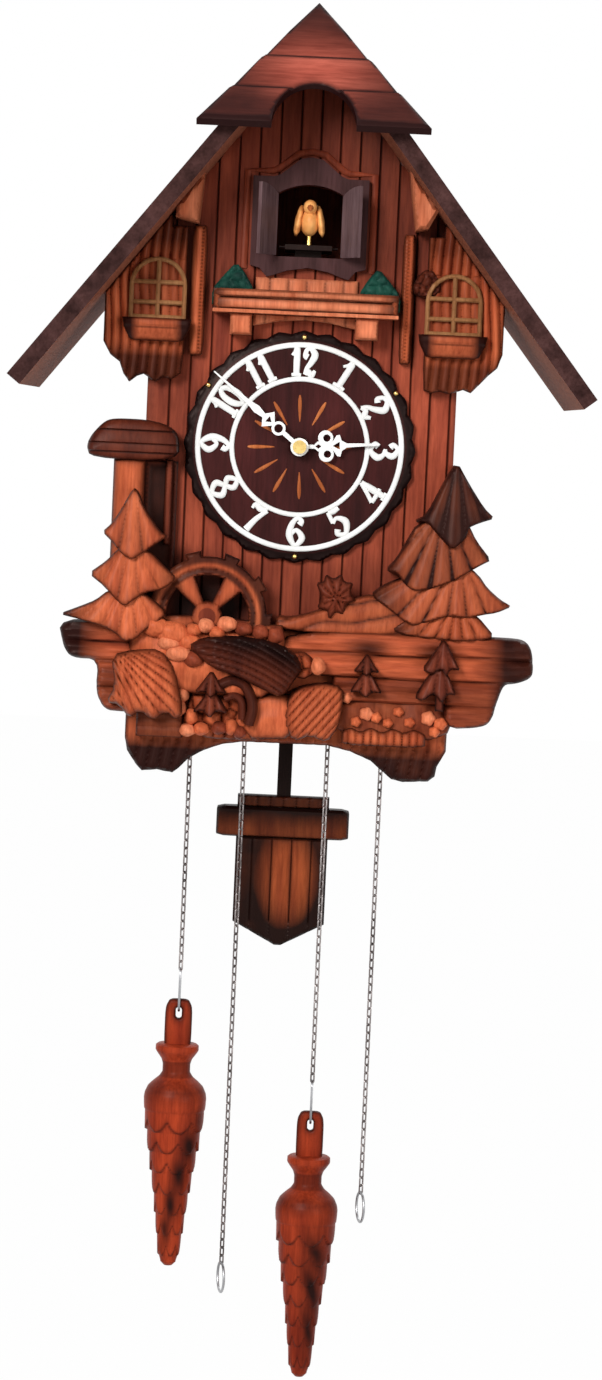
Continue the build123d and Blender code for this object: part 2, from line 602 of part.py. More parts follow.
plate_face = outline(
    (-PLATE_HALF_W, PLATE_Z[0]), (PLATE_HALF_W, PLATE_Z[0]), (PLATE_HALF_W, PLATE_Z[1]), (-PLATE_HALF_W, PLATE_Z[1]))
for at in arbors:
    plate_face -= Pos(*at) * Circle(running_bore)
for x, z in PILLARS:
    plate_face -= Pos(x, z) * Circle(PILLAR_R / 2)
back_plate_front = BACK_PLATE_OUT + PLATE_T
front_plate_front = FRONT_PLATE_OUT + PLATE_T
MINUTE_STUD_R = 1.2
stud_face = Pos(*minute_stud_at) * Circle(MINUTE_STUD_R)
plates = [
    flat(plate_face, BACK_PLATE_OUT, back_plate_front),
    flat(plate_face - stud_face, FRONT_PLATE_OUT, front_plate_front),
    flat(stud_face, FRONT_PLATE_OUT, panel_back),
]
for x, z in PILLARS:
    pillar = rod(x, z, PILLAR_R, back_plate_front, FRONT_PLATE_OUT)
    pillar += rod(x, z, PILLAR_R / 2, BACK_PLATE_OUT, front_plate_front)
    pillar += rod(x, z, PILLAR_R, front_plate_front, panel_back)
    plates.append(pillar)
write("movement_plates", *plates)

arbor_ends = (BACK_PLATE_OUT - 1, front_plate_front + 1)
great_face = gear(GREAT_TEETH, GREAT_MODULE, aim(going_at, centre_at))
going_great = wheel(going_at, great_face, GREAT_OUT, WHEEL_T) + rod(*going_at, ARBOR_R, *arbor_ends)
write("going_great_wheel", going_great)
strike_face = gear(GREAT_TEETH, GREAT_MODULE, STRIKE_LEAN)
strike_great = wheel(strike_at, strike_face, STRIKE_OUT, WHEEL_T) + rod(*strike_at, ARBOR_R, *arbor_ends)
write("strike_great_wheel", strike_great)

pinion_back = GREAT_OUT - (PINION_T - WHEEL_T) / 2
small_back = SECOND_OUT - (PINION_T - WHEEL_T) / 2
second = rod(*second_at, ARBOR_R, *arbor_ends)
strike_pinion_back = STRIKE_OUT - (PINION_T - WHEEL_T) / 2
second += wheel(second_at, gear(GREAT_PINION, GREAT_MODULE, STRIKE_LEAN + 180, False), strike_pinion_back, PINION_T)
second += wheel(second_at, gear(TRAIN_TEETH, TRAIN_MODULE, FLY_LEAN), SECOND_OUT, WHEEL_T)
write("strike_second_wheel", second)
FLY_HALF_W = 11.0
FLY_H = 6.0
fly = rod(*fly_at, ARBOR_R, *arbor_ends)
fly += wheel(fly_at, gear(TRAIN_PINION, TRAIN_MODULE, FLY_LEAN + 180, False), small_back, PINION_T)
fly_back = small_back + PINION_T + 0.5
fly += wheel(fly_at, Rectangle(2 * FLY_HALF_W, 1.0) + Circle(2.5), fly_back, FLY_H)
write("strike_fly", fly)

escape = rod(*escape_at, ARBOR_R, *arbor_ends)
escape += wheel(escape_at, gear(TRAIN_PINION, TRAIN_MODULE, aim(escape_at, centre_at), False), small_back, PINION_T)
saw = [polar(r, 2 * pi * (count + share) / ESCAPE_TEETH) for count in range(ESCAPE_TEETH)
       for r, share in ((ESCAPE_R - 3, 0.0), (ESCAPE_R, 0.55), (ESCAPE_R, 0.65), (ESCAPE_R - 3, 0.8))]
escape += wheel(escape_at, outline(*saw), ESCAPE_OUT, WHEEL_T)
write("escape_wheel", escape)

# Motion work: cannon pinion on the centre arbor, minute wheel on its stud, hour wheel on its pipe
CANNON_OUT = front_plate_front + 0.6
CANNON_T = 2.4
MINUTE_WHEEL_OUT = CANNON_OUT + 0.6
MOTION_T = 1.2
MINUTE_PINION_OUT = CANNON_OUT + CANNON_T + 0.3
HOUR_WHEEL_OUT = MINUTE_PINION_OUT + 0.4
down = aim(centre_at, minute_stud_at)
centre_end = MINUTE_HAND_OUT + HAND_T + NUT_T
centre = rod(0, 0, ARBOR_R, BACK_PLATE_OUT - 1, centre_end)
centre += wheel(centre_at, gear(GREAT_PINION, GREAT_MODULE, aim(centre_at, going_at), False), pinion_back, PINION_T)
centre += wheel(centre_at, gear(TRAIN_TEETH, TRAIN_MODULE, aim(centre_at, escape_at)), SECOND_OUT, WHEEL_T)
cannon = wheel(centre_at, gear(CANNON_TEETH, MOTION_MODULE, down), CANNON_OUT, CANNON_T, ARBOR_R)
cannon += wheel(centre_at, Circle(CANNON_R), CANNON_OUT, MINUTE_HAND_OUT - CANNON_OUT, ARBOR_R)
write("centre_wheel", centre, cannon)
stud_bore = MINUTE_STUD_R + PIVOT_CLEAR
minute_wheel = wheel(
    minute_stud_at, gear(MINUTE_WHEEL_TEETH, MOTION_MODULE, down + 180, False), MINUTE_WHEEL_OUT, MOTION_T, stud_bore
)
minute_wheel += wheel(
    minute_stud_at,
    gear(MINUTE_PINION_TEETH, MOTION_MODULE, down + 180, False),
    MINUTE_WHEEL_OUT + MOTION_T,
    HOUR_WHEEL_OUT + MOTION_T + 0.4 - MINUTE_WHEEL_OUT - MOTION_T,
    stud_bore,
)
write("minute_wheel", minute_wheel)
pipe_bore = CANNON_R + PIPE_CLEAR
hour_wheel = wheel(centre_at, gear(HOUR_WHEEL_TEETH, MOTION_MODULE, down), HOUR_WHEEL_OUT, MOTION_T, pipe_bore)
hour_wheel += wheel(centre_at, Circle(HOUR_PIPE_R), HOUR_WHEEL_OUT, HOUR_HAND_OUT + HAND_T - HOUR_WHEEL_OUT, pipe_bore)
write("hour_wheel", hour_wheel)


# Hands, drawn along +X and turned to the time shown
def ring(u, v, outer, inner):
    return Pos(u, v) * (Circle(outer) - Circle(inner))


HAND_BOSS_R = 5.4
hour_face = outline((0, -1.3), (26, -1.3), (47.4, -0.4), (47.4, 0.4), (26, 1.3), (0, 1.3))
hour_face += outline(
    (17, 0), (20, 3.8), (23.5, 6.4), (26.5, 1.2), (26.5, -1.2), (23.5, -6.4), (20, -3.8))
hour_face -= Pos(21, 0) * Circle(1.5)
hour_face += Pos(16, 0) * Rectangle(1.5, 7)
hour_face += ring(16, 4.8, 2.4, 1.2) + ring(16, -4.8, 2.4, 1.2)
hour_face = hour_face + Pos(11, 0) * Circle(2.8) - Pos(11, 0) * Circle(1.5)
hour_face = hour_face + Circle(HAND_BOSS_R) - Circle(HOUR_PIPE_R)
hour_hand = flat(Rot(0, 0, 90 - HOUR_ANGLE) * hour_face, HOUR_HAND_OUT, HOUR_HAND_OUT + HAND_T)
write("hour_hand", hour_hand)
minute_face = outline(
    (0, -1.3), (28, -1.3), (34, -2.4), (41, -1.2), (67.8, -0.4), (67.8, 0.4), (41, 1.2), (34, 2.4), (28, 1.3), (0, 1.3))
minute_face += outline((19.5, 0), (25, 5.8), (28.5, 1.2), (28.5, -1.2), (25, -5.8))
minute_face -= outline((22.2, 0), (25.4, 2.2), (25.4, -2.2))
minute_face = minute_face + Pos(16.7, 0) * Circle(4.2) - Pos(16.7, 0) * Circle(2.6)
minute_face = minute_face + Circle(HAND_BOSS_R) - Circle(ARBOR_R)
minute_hand = flat(Rot(0, 0, 90 - MINUTE_ANGLE) * minute_face, MINUTE_HAND_OUT, MINUTE_HAND_OUT + HAND_T)
write("minute_hand", minute_hand)
nut_face = Circle(NUT_R) - Circle(ARBOR_R)
write("hand_nut", flat(nut_face, MINUTE_HAND_OUT + HAND_T, centre_end))

# Chains over grooved wheels that drive the trains, each with a weight at one end and a ring at the other
GROOVE_CLEAR = 0.3
FLANGE_R = 19.0
FLANGE_T = 1.4
groove_half = LINK_WIDTH / 2 + GROOVE_CLEAR + 0.1
core_r = CHAIN_R - LINK_WIDTH / 2 - GROOVE_CLEAR


def chain_wheel(at):
    core = wheel(at, Circle(core_r), CHAIN_OUT - groove_half, 2 * groove_half, running_bore)
    for back in (CHAIN_OUT - groove_half - FLANGE_T, CHAIN_OUT + groove_half):
        core += wheel(at, Circle(FLANGE_R), back, FLANGE_T, running_bore)
    return core


write("going_chain_wheel", chain_wheel(going_at))
write("strike_chain_wheel", chain_wheel(strike_at))


def oval(length, width, wire, plane):
    """Closed oval of round wire; length and width are between the wire's middles."""
    path = plane * SlotOverall(length + width, width, rotation=90).wire()
    return sweep((path ^ 0) * Circle(wire / 2), path=path)


CHAIN_BAR_R = 1.9        # plain bar that stands for a stretch of links


def strand(x, end):
    """Hanging stretch of chain from its wheel down to the given height."""
    length = chain_z - end
    return Pos(x, -CHAIN_OUT, end + length / 2) * Cylinder(CHAIN_BAR_R, length)


def seat(end, wire):
    """Height of the middle of a wire that hangs from the end of a stretch of chain."""
    return end - LINK_PLAY - wire / 2


TAB_HOLE = (6.0, 10.0)
TAB_HOLE_DOWN = 10.0      # its middle below the top of the weight
TAB_HALF_W = 8.3
TAB_H = 27.5
TAB_ROOT = 6.0            # how far the ear runs down into the cone
HOOK_PLAY = 0.8
hook_width = WEIGHT_TAB_T + HOOK_PLAY + HOOK_WIRE
hook_inner_r = (hook_width - HOOK_WIRE) / 2
hook_rise = hook_inner_r - sqrt(hook_inner_r**2 - (WEIGHT_TAB_T / 2) ** 2)   # its bend at the faces of the ear


def hook(x, end):
    """Wire loop between the last link and the weight's ear."""
    middle = seat(end, HOOK_WIRE) - HOOK_LENGTH / 2
    return Pos(x, -CHAIN_OUT, middle) * oval(HOOK_LENGTH - hook_width, hook_width, HOOK_WIRE, Plane.YZ)


def weight(x, end):
    """Pine cone turned from the solid, with a flat ear for the hook."""
    hole_top = seat(end, HOOK_WIRE) - HOOK_LENGTH + HOOK_WIRE / 2 + hook_rise + LINK_PLAY / 2
    top = hole_top + TAB_HOLE_DOWN - TAB_HOLE[1] / 2
    ear = Pos(x, top - (TAB_H + TAB_ROOT) / 2) * RectangleRounded(2 * TAB_HALF_W, TAB_H + TAB_ROOT, 5)
    ear -= Pos(x, top - TAB_HOLE_DOWN) * SlotOverall(TAB_HOLE[1], TAB_HOLE[0], rotation=90)
    ear = flat(ear, CHAIN_OUT - WEIGHT_TAB_T / 2, CHAIN_OUT + WEIGHT_TAB_T / 2)
    profile = [
        (0, -TAB_H), (13.3, -TAB_H), (13.3, -32), (8.5, -40), (8.5, -46), (17, -54), (19.25, -61), (18.5, -70),
        (11, -120), (6.7, -158), (4, -165), (0, -166.5),
    ]
    cone = revolve(Plane.XZ * outline(*profile), Axis.Z)
    return ear + Pos(x, -CHAIN_OUT, top) * cone


def pull_ring(x, end):
    """Ring at the free end, hanging nearly edge-on to the viewer."""
    middle = seat(end, PULL_RING_WIRE) - PULL_RING_R
    return Pos(x, -CHAIN_OUT, middle) * Rot(0, 0, 13) * Rot(0, 90, 0) * Torus(PULL_RING_R, PULL_RING_WIRE / 2)


strike_outer_x, strike_inner_x, going_inner_x, going_outer_x = chain_x
write("chain_strike_weight", strand(strike_outer_x, STRIKE_WEIGHT_END), hook(strike_outer_x, STRIKE_WEIGHT_END))
write("weight_strike", weight(strike_outer_x, STRIKE_WEIGHT_END))
write("chain_strike_ring", strand(strike_inner_x, STRIKE_RING_END), pull_ring(strike_inner_x, STRIKE_RING_END))
write("chain_going_weight", strand(going_inner_x, GOING_WEIGHT_END), hook(going_inner_x, GOING_WEIGHT_END))
write("weight_going", weight(going_inner_x, GOING_WEIGHT_END))
write("chain_going_ring", strand(going_outer_x, GOING_RING_END), pull_ring(going_outer_x, GOING_RING_END))

# Pendulum: anchor and arbor in the plates, rod behind the movement, carved bob below the case
anchor_out = ESCAPE_OUT
half_anchor = [(2, 3), (15, -6), (14, -9.5), (11.5, -7.5), (2, -3)]
anchor_face = outline(*half_anchor, *mirrored(half_anchor)) + Circle(4)
anchor = wheel(anchor_at, anchor_face, anchor_out, WHEEL_T)
anchor += rod(*anchor_at, ARBOR_R, BOB_OUT[0] + 2, arbor_ends[1])
write("pallet_anchor", anchor)
CAP_Z = (-217.5, -224.5)
ARM_Z = (CAP_Z[1], -243.5)
ARM_HALF_W = 41.2
BOB_SHOULDER_Z = -296.5
BOB_TIP_Z = -310.5
ROD_NECK_Z = -140.0
rod_out = (bob_mid - ROD_T / 2, bob_mid + ROD_T / 2)
pendulum_rod = flat(Pos(*anchor_at) * Circle(4.5), *rod_out)
pendulum_rod += block(-1.6, 1.6, ROD_NECK_Z, ANCHOR_Z, *rod_out)
pendulum_rod -= flat(Pos(*anchor_at) * Circle(ARBOR_R), *rod_out)
pendulum_rod += block(-ROD_W / 2, ROD_W / 2, CAP_Z[0], ROD_NECK_Z, *rod_out)
write("pendulum_rod", pendulum_rod)
crossbar = block(-BOB_HALF_W, BOB_HALF_W, CAP_Z[1], CAP_Z[0], *BOB_OUT)
arm_face = Pos(0, sum(ARM_Z) / 2) * RectangleRounded(2 * ARM_HALF_W, ARM_Z[0] - ARM_Z[1], 3)
crossbar += flat(arm_face, BOB_OUT[0] - 1, BOB_OUT[1] + 1)
bob = [
    (-BOB_HALF_W, ARM_Z[1]), (BOB_HALF_W, ARM_Z[1]), (BOB_HALF_W, BOB_SHOULDER_Z), (2, BOB_TIP_Z), (-2, BOB_TIP_Z),
    (-BOB_HALF_W, BOB_SHOULDER_Z),
]
write("pendulum_bob", board(bob, *BOB_OUT), crossbar)

# Bird on its carriage, which slides on a shelf behind the doors
SHELF_BACK = 20.0
SHELF_HALF_W = 22.0
RUNNER_HALF_W = 8.0
PLATFORM_T = 3.0
PLATFORM_OUT = (CASE_DEPTH - 38.0, CASE_DEPTH + 10.0)
RUNNER_OUT = (CASE_DEPTH - 54.0, CASE_DEPTH - 2.0)
shelf_top = DOOR_SILL_Z
write("bird_shelf", block(-SHELF_HALF_W, SHELF_HALF_W, shelf_top - SHELF_T, shelf_top, SHELF_BACK, panel_back))
carriage = block(-RUNNER_HALF_W, RUNNER_HALF_W, shelf_top + SLIDE_CLEAR, CARRIAGE_TOP_Z, *RUNNER_OUT)
platform_z = CARRIAGE_TOP_Z - PLATFORM_T
carriage += block(-CARRIAGE_HALF_W, CARRIAGE_HALF_W, platform_z, CARRIAGE_TOP_Z, *PLATFORM_OUT)
for side in (-1, 1):
    link_wire = Pos(side * (CARRIAGE_HALF_W + 1), -PLATFORM_OUT[1] + 5, platform_z + PLATFORM_T / 2)
    carriage += link_wire * Rot(0, 90, 0) * Cylinder(0.7, 5)
write("bird_carriage", carriage)
BIRD_OUT = CASE_DEPTH + 1.0
BIRD_Z = 134.0
bird = Pos(0, -BIRD_OUT, BIRD_Z) * scale(Sphere(1), (8.4, 12, 8.6))
bird += Pos(0, -BIRD_OUT - 9, BIRD_Z + 7.5) * Sphere(5.8)
bird += Pos(0, -BIRD_OUT - 15.5, BIRD_Z + 8) * Rot(90, 0, 0) * Cone(2, 0.4, 5)
bird += Pos(0, -BIRD_OUT + 11, BIRD_Z - 1) * Box(7, 14, 3)
stem_h = BIRD_Z - CARRIAGE_TOP_Z
bird += Pos(0, -BIRD_OUT, CARRIAGE_TOP_Z + stem_h / 2) * Cylinder(1.6, stem_h)
write("bird", bird)

# Bellows on their wooden whistles, and the coiled gong on the back panel
PIPE_X = (CASE_HALF_W - 30.5, CASE_HALF_W - 10.5)
PIPE_OUT = (BACK_PLATE_OUT - 32.0, BACK_PLATE_OUT - 6.0)
PIPE_Z = (-60.0, 95.0)
PIPE_WALL = 3.0
BAG_H = 6.0
LID_T = 3.0
LID_CLEAR = 0.3
lid_z = PIPE_Z[1] + BAG_H + LID_CLEAR
pipes = []
lids = []
for side in (-1, 1):
    x0, x1 = sorted((side * PIPE_X[0], side * PIPE_X[1]))
    pipe = block(x0, x1, *PIPE_Z, *PIPE_OUT)
    pipe -= block(x0 + PIPE_WALL, x1 - PIPE_WALL, PIPE_Z[0] + 12, PIPE_Z[1] - PIPE_WALL,
                  PIPE_OUT[0] + PIPE_WALL, PIPE_OUT[1] - PIPE_WALL)
    pipe -= block(x0 + PIPE_WALL, x1 - PIPE_WALL, 60, 72, PIPE_OUT[1] - PIPE_WALL, PIPE_OUT[1])
    pipes.append(pipe)
    pipes.append(block(x0 + 1, x1 - 1, PIPE_Z[1], PIPE_Z[1] + BAG_H, PIPE_OUT[0] + 1, PIPE_OUT[1] - 1))
    pipes.append(block(x0, x1, PIPE_Z[0], PIPE_Z[0] + 10, BACK_T, PIPE_OUT[0]))
    pipes.append(block(x0, x1, PIPE_Z[1] - 20, PIPE_Z[1] - 10, BACK_T, PIPE_OUT[0]))
    barrel = Pos((x0 + x1) / 2, -PIPE_OUT[0], lid_z + LID_T / 2) * Rot(0, 90, 0) * Cylinder(LID_T / 2, x1 - x0)
    lids.append(block(x0, x1, lid_z, lid_z + LID_T, *PIPE_OUT) + barrel)
write("bellows_pipes", *pipes)
write("bellows_lid_left", lids[0])
write("bellows_lid_right", lids[1])

GONG_OUT = 14.0
GONG_WIRE = 3.0
GONG_R = 20.0
GONG_STEP = 3.0
GONG_HALF_TURNS = 6
GONG_Z = -105.0
arcs = []
for index in range(GONG_HALF_TURNS):
    shift = GONG_STEP * (index % 2)
    arcs.append(CenterArc((shift, GONG_Z), GONG_R + GONG_STEP * index, 180 * (index % 2), 180))
gong_path = Plane.XZ.offset(GONG_OUT) * Wire(arcs)
gong_post = rod(GONG_R, GONG_Z, 4, BACK_T, GONG_OUT - GONG_WIRE / 2)
write("gong", sweep((gong_path ^ 0) * Circle(GONG_WIRE / 2), path=gong_path), gong_post)
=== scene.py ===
import bmesh
import bpy
import math
import numpy as np
from mathutils import Matrix, Vector, geometry


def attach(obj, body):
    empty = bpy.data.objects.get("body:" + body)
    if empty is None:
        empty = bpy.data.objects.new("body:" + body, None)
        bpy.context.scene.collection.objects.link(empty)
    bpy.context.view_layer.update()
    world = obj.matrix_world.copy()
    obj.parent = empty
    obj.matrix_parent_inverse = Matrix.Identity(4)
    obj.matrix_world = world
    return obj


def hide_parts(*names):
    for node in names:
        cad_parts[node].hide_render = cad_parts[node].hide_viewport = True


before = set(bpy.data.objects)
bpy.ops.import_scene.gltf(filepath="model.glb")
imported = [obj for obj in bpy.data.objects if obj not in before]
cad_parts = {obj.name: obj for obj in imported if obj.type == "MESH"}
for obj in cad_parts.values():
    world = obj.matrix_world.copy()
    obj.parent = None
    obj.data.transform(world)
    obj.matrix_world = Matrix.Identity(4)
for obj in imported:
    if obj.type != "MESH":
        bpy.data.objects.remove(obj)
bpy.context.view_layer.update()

# Sizes are in mm, as (x, depth from the wall, height from the dial's centre); place() turns them to metres.
HANGER_UP = 175.0
CASE_DEPTH = 120.0
ROOT = "case"
rng = np.random.default_rng(7)

# Camera, lamps and floor, in metres
CAMERA_AT = (0, -2.505, -0.165)
CAMERA_TURN = (3.734, 0.180, 2.6)      # down, right and roll, in degrees
SENSOR = 36.0
LENS = 3975.0 * SENSOR / 1380          # focal length in pixels of the photograph, by its height
LAMP_AIM = (0, -0.1, -0.25)
LAMPS = [
    ("key lamp", (-0.9, -2.1, 0.6), 0.7, 56),
    ("fill lamp", (1.3, -1.8, 0.0), 1.0, 15),
    ("rear lamp", (0.6, 1.2, 1.2), 1.0, 10),
]
AMBIENT = 0.28
FLOOR_Z = -1.25
FLOOR_HALF = 12.0
FLOOR_GLOW = 0.985                     # share of plain white in what the camera sees of the floor

# Wood: broad figure in features per metre, its draw along the grain, and colours as 8-bit sRGB
GRAIN = 90.0
DRAW = 0.09
# colours that the wood darkens towards, for scorching and for painted shade
BURNT_AND_SHADE = (26, 10, 8)
DARK_BURNT_AND_SHADE = (34, 12, 9)
VARNISH = (1.0, 0.74, 0.66, 1.0)
WHITE = (1.0, 1.0, 1.0, 1.0)


def place(x, out, z):
    return (x / 1000, -out / 1000, (z - HANGER_UP) / 1000)


def add(name, data):
    made = bpy.data.objects.new(name, data)
    bpy.context.collection.objects.link(made)
    return made


# Materials

def srgb(r, g, b):
    """Linear colour of an 8-bit sRGB one."""
    return tuple(((v / 255 + 0.055) / 1.055) ** 2.4 if v > 10 else v / 3294.6 for v in (r, g, b)) + (1.0,)


def grey(value):
    return (value, value, value, 1.0)


def new_material(name):
    material = bpy.data.materials.new(name)
    material.use_nodes = True
    tree = material.node_tree
    return material, tree, tree.nodes["Principled BSDF"]


def fill(tree, made, inputs):
    """Set each input of a node to a value, or link it to another node's socket."""
    for key, value in inputs.items():
        if isinstance(value, bpy.types.NodeSocket):
            tree.links.new(value, made.inputs[key])
        else:
            made.inputs[key].default_value = value


def node(tree, kind, inputs=None, **settings):
    made = tree.nodes.new("ShaderNode" + kind)
    for key, value in settings.items():
        setattr(made, key, value)
    fill(tree, made, inputs or {})
    return made


def noise(tree, scale, detail, stretch=(1, 1, 1)):
    """Noise over the object's own coordinates, in features per metre."""
    where = node(tree, "TexCoord").outputs["Object"]
    mapped = node(tree, "Mapping", {"Vector": where, "Scale": stretch}).outputs["Vector"]
    made = node(tree, "TexNoise", {"Vector": mapped, "Scale": scale, "Detail": detail, "Roughness": 0.6})
    return made.outputs["Fac"]


def ramp(tree, source, *stops):
    """Colour ramp through two (place, colour) stops."""
    made = node(tree, "ValToRGB", {"Fac": source})
    for mark, (at, colour) in zip(made.color_ramp.elements, stops):
        mark.position = at
        mark.color = colour
    return made.outputs["Color"]


def arithmetic(tree, operation, *values, clamp=False):
    return node(tree, "Math", dict(enumerate(values)), operation=operation, use_clamp=clamp).outputs[0]


def mixed(tree, share, first, second, blend="MIX"):
    inputs = {0: share, 6: first, 7: second}
    return node(tree, "Mix", inputs, data_type="RGBA", blend_type=blend).outputs[2]


def bump(tree, shader, height, strength, distance):
    made = node(tree, "Bump", {"Height": height, "Strength": strength, "Distance": distance})
    tree.links.new(made.outputs["Normal"], shader.inputs["Normal"])


def wood(name, pale, middle, burnt_and_shade, along="z", rough=0.4, gleam=0.09, under=None):
    """Varnished wood with long fibres, darkened by the burn_and_shade attribute, which holds scorching and
    painted shade; under gives what faces down its own colour.
    """
    material, tree, shader = new_material(name)
    stretch = tuple(DRAW if axis == along else 1 for axis in "xyz")
    broad = noise(tree, GRAIN, 4, stretch)
    fibre = noise(tree, GRAIN * 7, 6, stretch)
    blotch = noise(tree, 22, 3)
    colour = ramp(tree, broad, (0.3, srgb(*middle)), (0.68, srgb(*pale)))
    streak = ramp(tree, fibre, (0.35, (0.62, 0.56, 0.54, 1)), (0.6, WHITE))
    colour = mixed(tree, 0.75, colour, streak, "MULTIPLY")
    cloud = ramp(tree, blotch, (0.35, (0.66, 0.6, 0.58, 1)), (0.62, WHITE))
    colour = mixed(tree, 0.6, colour, cloud, "MULTIPLY")
    # each vertex's darkening, by scorching and painted shade
    scorch_and_shade = node(tree, "Attribute", attribute_name="burn_and_shade").outputs["Fac"]
    spread = arithmetic(tree, "MULTIPLY_ADD", blotch, 0.5, 0.82)
    share = arithmetic(tree, "MULTIPLY", scorch_and_shade, spread, clamp=True)
    colour = mixed(tree, share, colour, srgb(*burnt_and_shade))
    # faces that point downward take the under colour
    if under:
        facing = node(tree, "NewGeometry").outputs["Normal"]
        upward = node(tree, "SeparateXYZ", {0: facing}).outputs["Z"]
        downward = arithmetic(tree, "LESS_THAN", upward, -0.3)
        underside_tint = mixed(tree, 0.75, srgb(*under), streak, "MULTIPLY")
        colour = mixed(tree, downward, colour, underside_tint)
    fill(tree, shader, {
        "Base Color": colour, "Roughness": rough, "Specular IOR Level": gleam, "Specular Tint": VARNISH,
    })
    bump(tree, shader, fibre, 0.25, 0.0004)
    return material


def plain(name, colour, worn, rough, metal=0.0, grain=300.0, gleam=0.5, depth=0.0002):
    """Paint, plastic or metal with fine unevenness and a little wear."""
    material, tree, shader = new_material(name)
    speck = noise(tree, grain, 5)
    broad = noise(tree, grain / 9, 3)
    tint = ramp(tree, broad, (0.35, srgb(*worn)), (0.62, srgb(*colour)))
    gloss = ramp(tree, speck, (0.3, grey(0.8 * rough)), (0.7, grey(1.25 * rough)))
    fill(tree, shader, {
        "Base Color": tint, "Roughness": gloss, "Metallic": metal, "Specular IOR Level": gleam,
    })
    bump(tree, shader, speck, 0.3, depth)
    return material


MATS = {
    "panel": wood("panel wood", (176, 84, 58), (126, 54, 39), BURNT_AND_SHADE),
    "carved": wood("carved wood", (218, 114, 72), (170, 77, 47), DARK_BURNT_AND_SHADE),
    "carved_x": wood("carved log wood", (208, 104, 66), (156, 68, 43), DARK_BURNT_AND_SHADE, "x"),
    "light": wood("pale carved wood", (234, 144, 104), (196, 100, 64), (48, 17, 11)),
    "brown": wood("brown carved wood", (150, 70, 46), (100, 42, 29), (22, 9, 8)),
    "hip": wood("hip roof wood", (200, 104, 86), (156, 72, 58), (32, 13, 13), "x"),
    "roof": wood("roof wood", (74, 49, 47), (40, 24, 23), (14, 8, 8), "y", 0.6, 0.04, under=(136, 82, 62)),
    "window": wood("window wood", (178, 130, 86), (138, 92, 56), (70, 36, 18)),
    "frame": wood("door frame wood", (76, 49, 50), (48, 29, 30), (16, 10, 10)),
    # the doors' lighter grey is a painted sheen
    "door": wood("door wood with painted sheen", (108, 86, 88), (70, 52, 54), (30, 19, 19)),
    "dial": wood("dial wood", (68, 28, 28), (42, 16, 17), (16, 6, 6)),
    "ray": wood("dial ray wood", (190, 112, 62), (150, 76, 40), BURNT_AND_SHADE),
    "black": wood("black stained wood", (30, 19, 17), (15, 9, 9), (6, 4, 4)),
    "pipe": wood("whistle wood", (206, 168, 116), (176, 132, 84), (70, 44, 24)),
    "green": plain("green paint", (22, 66, 54), (11, 38, 33), 0.6, grain=700, gleam=0.12),
    "white": plain("white plastic", (222, 222, 220), (208, 208, 205), 0.35, gleam=0.3, depth=0.00005),
    "brass": plain("brass", (226, 196, 124), (186, 148, 82), 0.28, metal=1.0),
    "chain": plain("chain steel", (166, 158, 156), (104, 96, 94), 0.36, metal=1.0),
    "steel": plain("steel", (170, 170, 172), (120, 120, 122), 0.32, metal=1.0),
    "bird": plain("bird paint", (230, 164, 96), (190, 112, 52), 0.45, grain=500, gleam=0.3),
    "cone": wood("cone weight wood", (172, 64, 34), (116, 36, 20), (30, 9, 7)),
    "bob": wood("bob wood", (168, 84, 46), (118, 51, 29), (22, 9, 7)),
    "leather": plain("bellows leather", (120, 84, 56), (84, 56, 38), 0.7, grain=900),
}


# Outlines, as lists of (x, z)

def box(x0, x1, z0, z1):
    return [(x0, z0), (x1, z0), (x1, z1), (x0, z1)]


def around(count):
    """Even turns of a circle."""
    return np.linspace(0, 2 * math.pi, count, endpoint=False)


def circle(x, z, r, count=32):
    return [(x + r * math.cos(a), z + r * math.sin(a)) for a in around(count)]


def mirrored(points):
    return [(-x, z) for x, z in reversed(points)]


def arch(half_w, sill, spring, top, count=16):
    """Outline of a doorway with a low arched head."""
    rise = top - spring
    radius = (half_w**2 + rise**2) / (2 * rise)
    spread = math.asin(half_w / radius)
    turns = np.linspace(spread, -spread, count)
    return [(-half_w, sill), (half_w, sill)] + [
        (radius * math.sin(a), top - radius + radius * math.cos(a)) for a in turns
    ]


def pairs(loop):
    """Each point of a closed outline with the next one."""
    return zip(loop, loop[1:] + loop[:1])


def inside(loops, xs, zs):
    """Which of the places lie inside the first outline and outside the others."""
    hit = np.zeros((len(loops), len(xs)), bool)
    for row, loop in zip(hit, loops):
        for (x0, z0), (x1, z1) in pairs(loop):
            if z0 != z1:
                row ^= ((zs < z0) != (zs < z1)) & (xs < x0 + (zs - z0) * (x1 - x0) / (z1 - z0))
    return hit[0] & ~hit[1:].any(axis=0)


def edge_distance(loops, xs, zs):
    """Distance from each place to the nearest outline."""
    best = np.full(len(xs), 1e9)
    for loop in loops:
        for (x0, z0), (x1, z1) in pairs(loop):
            dx, dz = x1 - x0, z1 - z0
            share = unit(((xs - x0) * dx + (zs - z0) * dz) / max(dx * dx + dz * dz, 1e-9))
            best = np.minimum(best, np.hypot(xs - x0 - share * dx, zs - z0 - share * dz))
    return best


def rounded(points, passes=2, keep=0.22):
    """Outline with its corners cut to soft curves."""
    for _ in range(passes):
        cut = []
        for (x0, z0), (x1, z1) in pairs(points):
            cut.append((x0 + keep * (x1 - x0), z0 + keep * (z1 - z0)))
            cut.append((x1 + keep * (x0 - x1), z1 + keep * (z0 - z1)))
        points = cut
    return points


def dense(loop, step):
    made = []
    for (x0, z0), (x1, z1) in pairs(loop):
        count = max(1, round(math.hypot(x1 - x0, z1 - z0) / step))
        made += [(x0 + (x1 - x0) * i / count, z0 + (z1 - z0) * i / count) for i in range(count)]
    return made
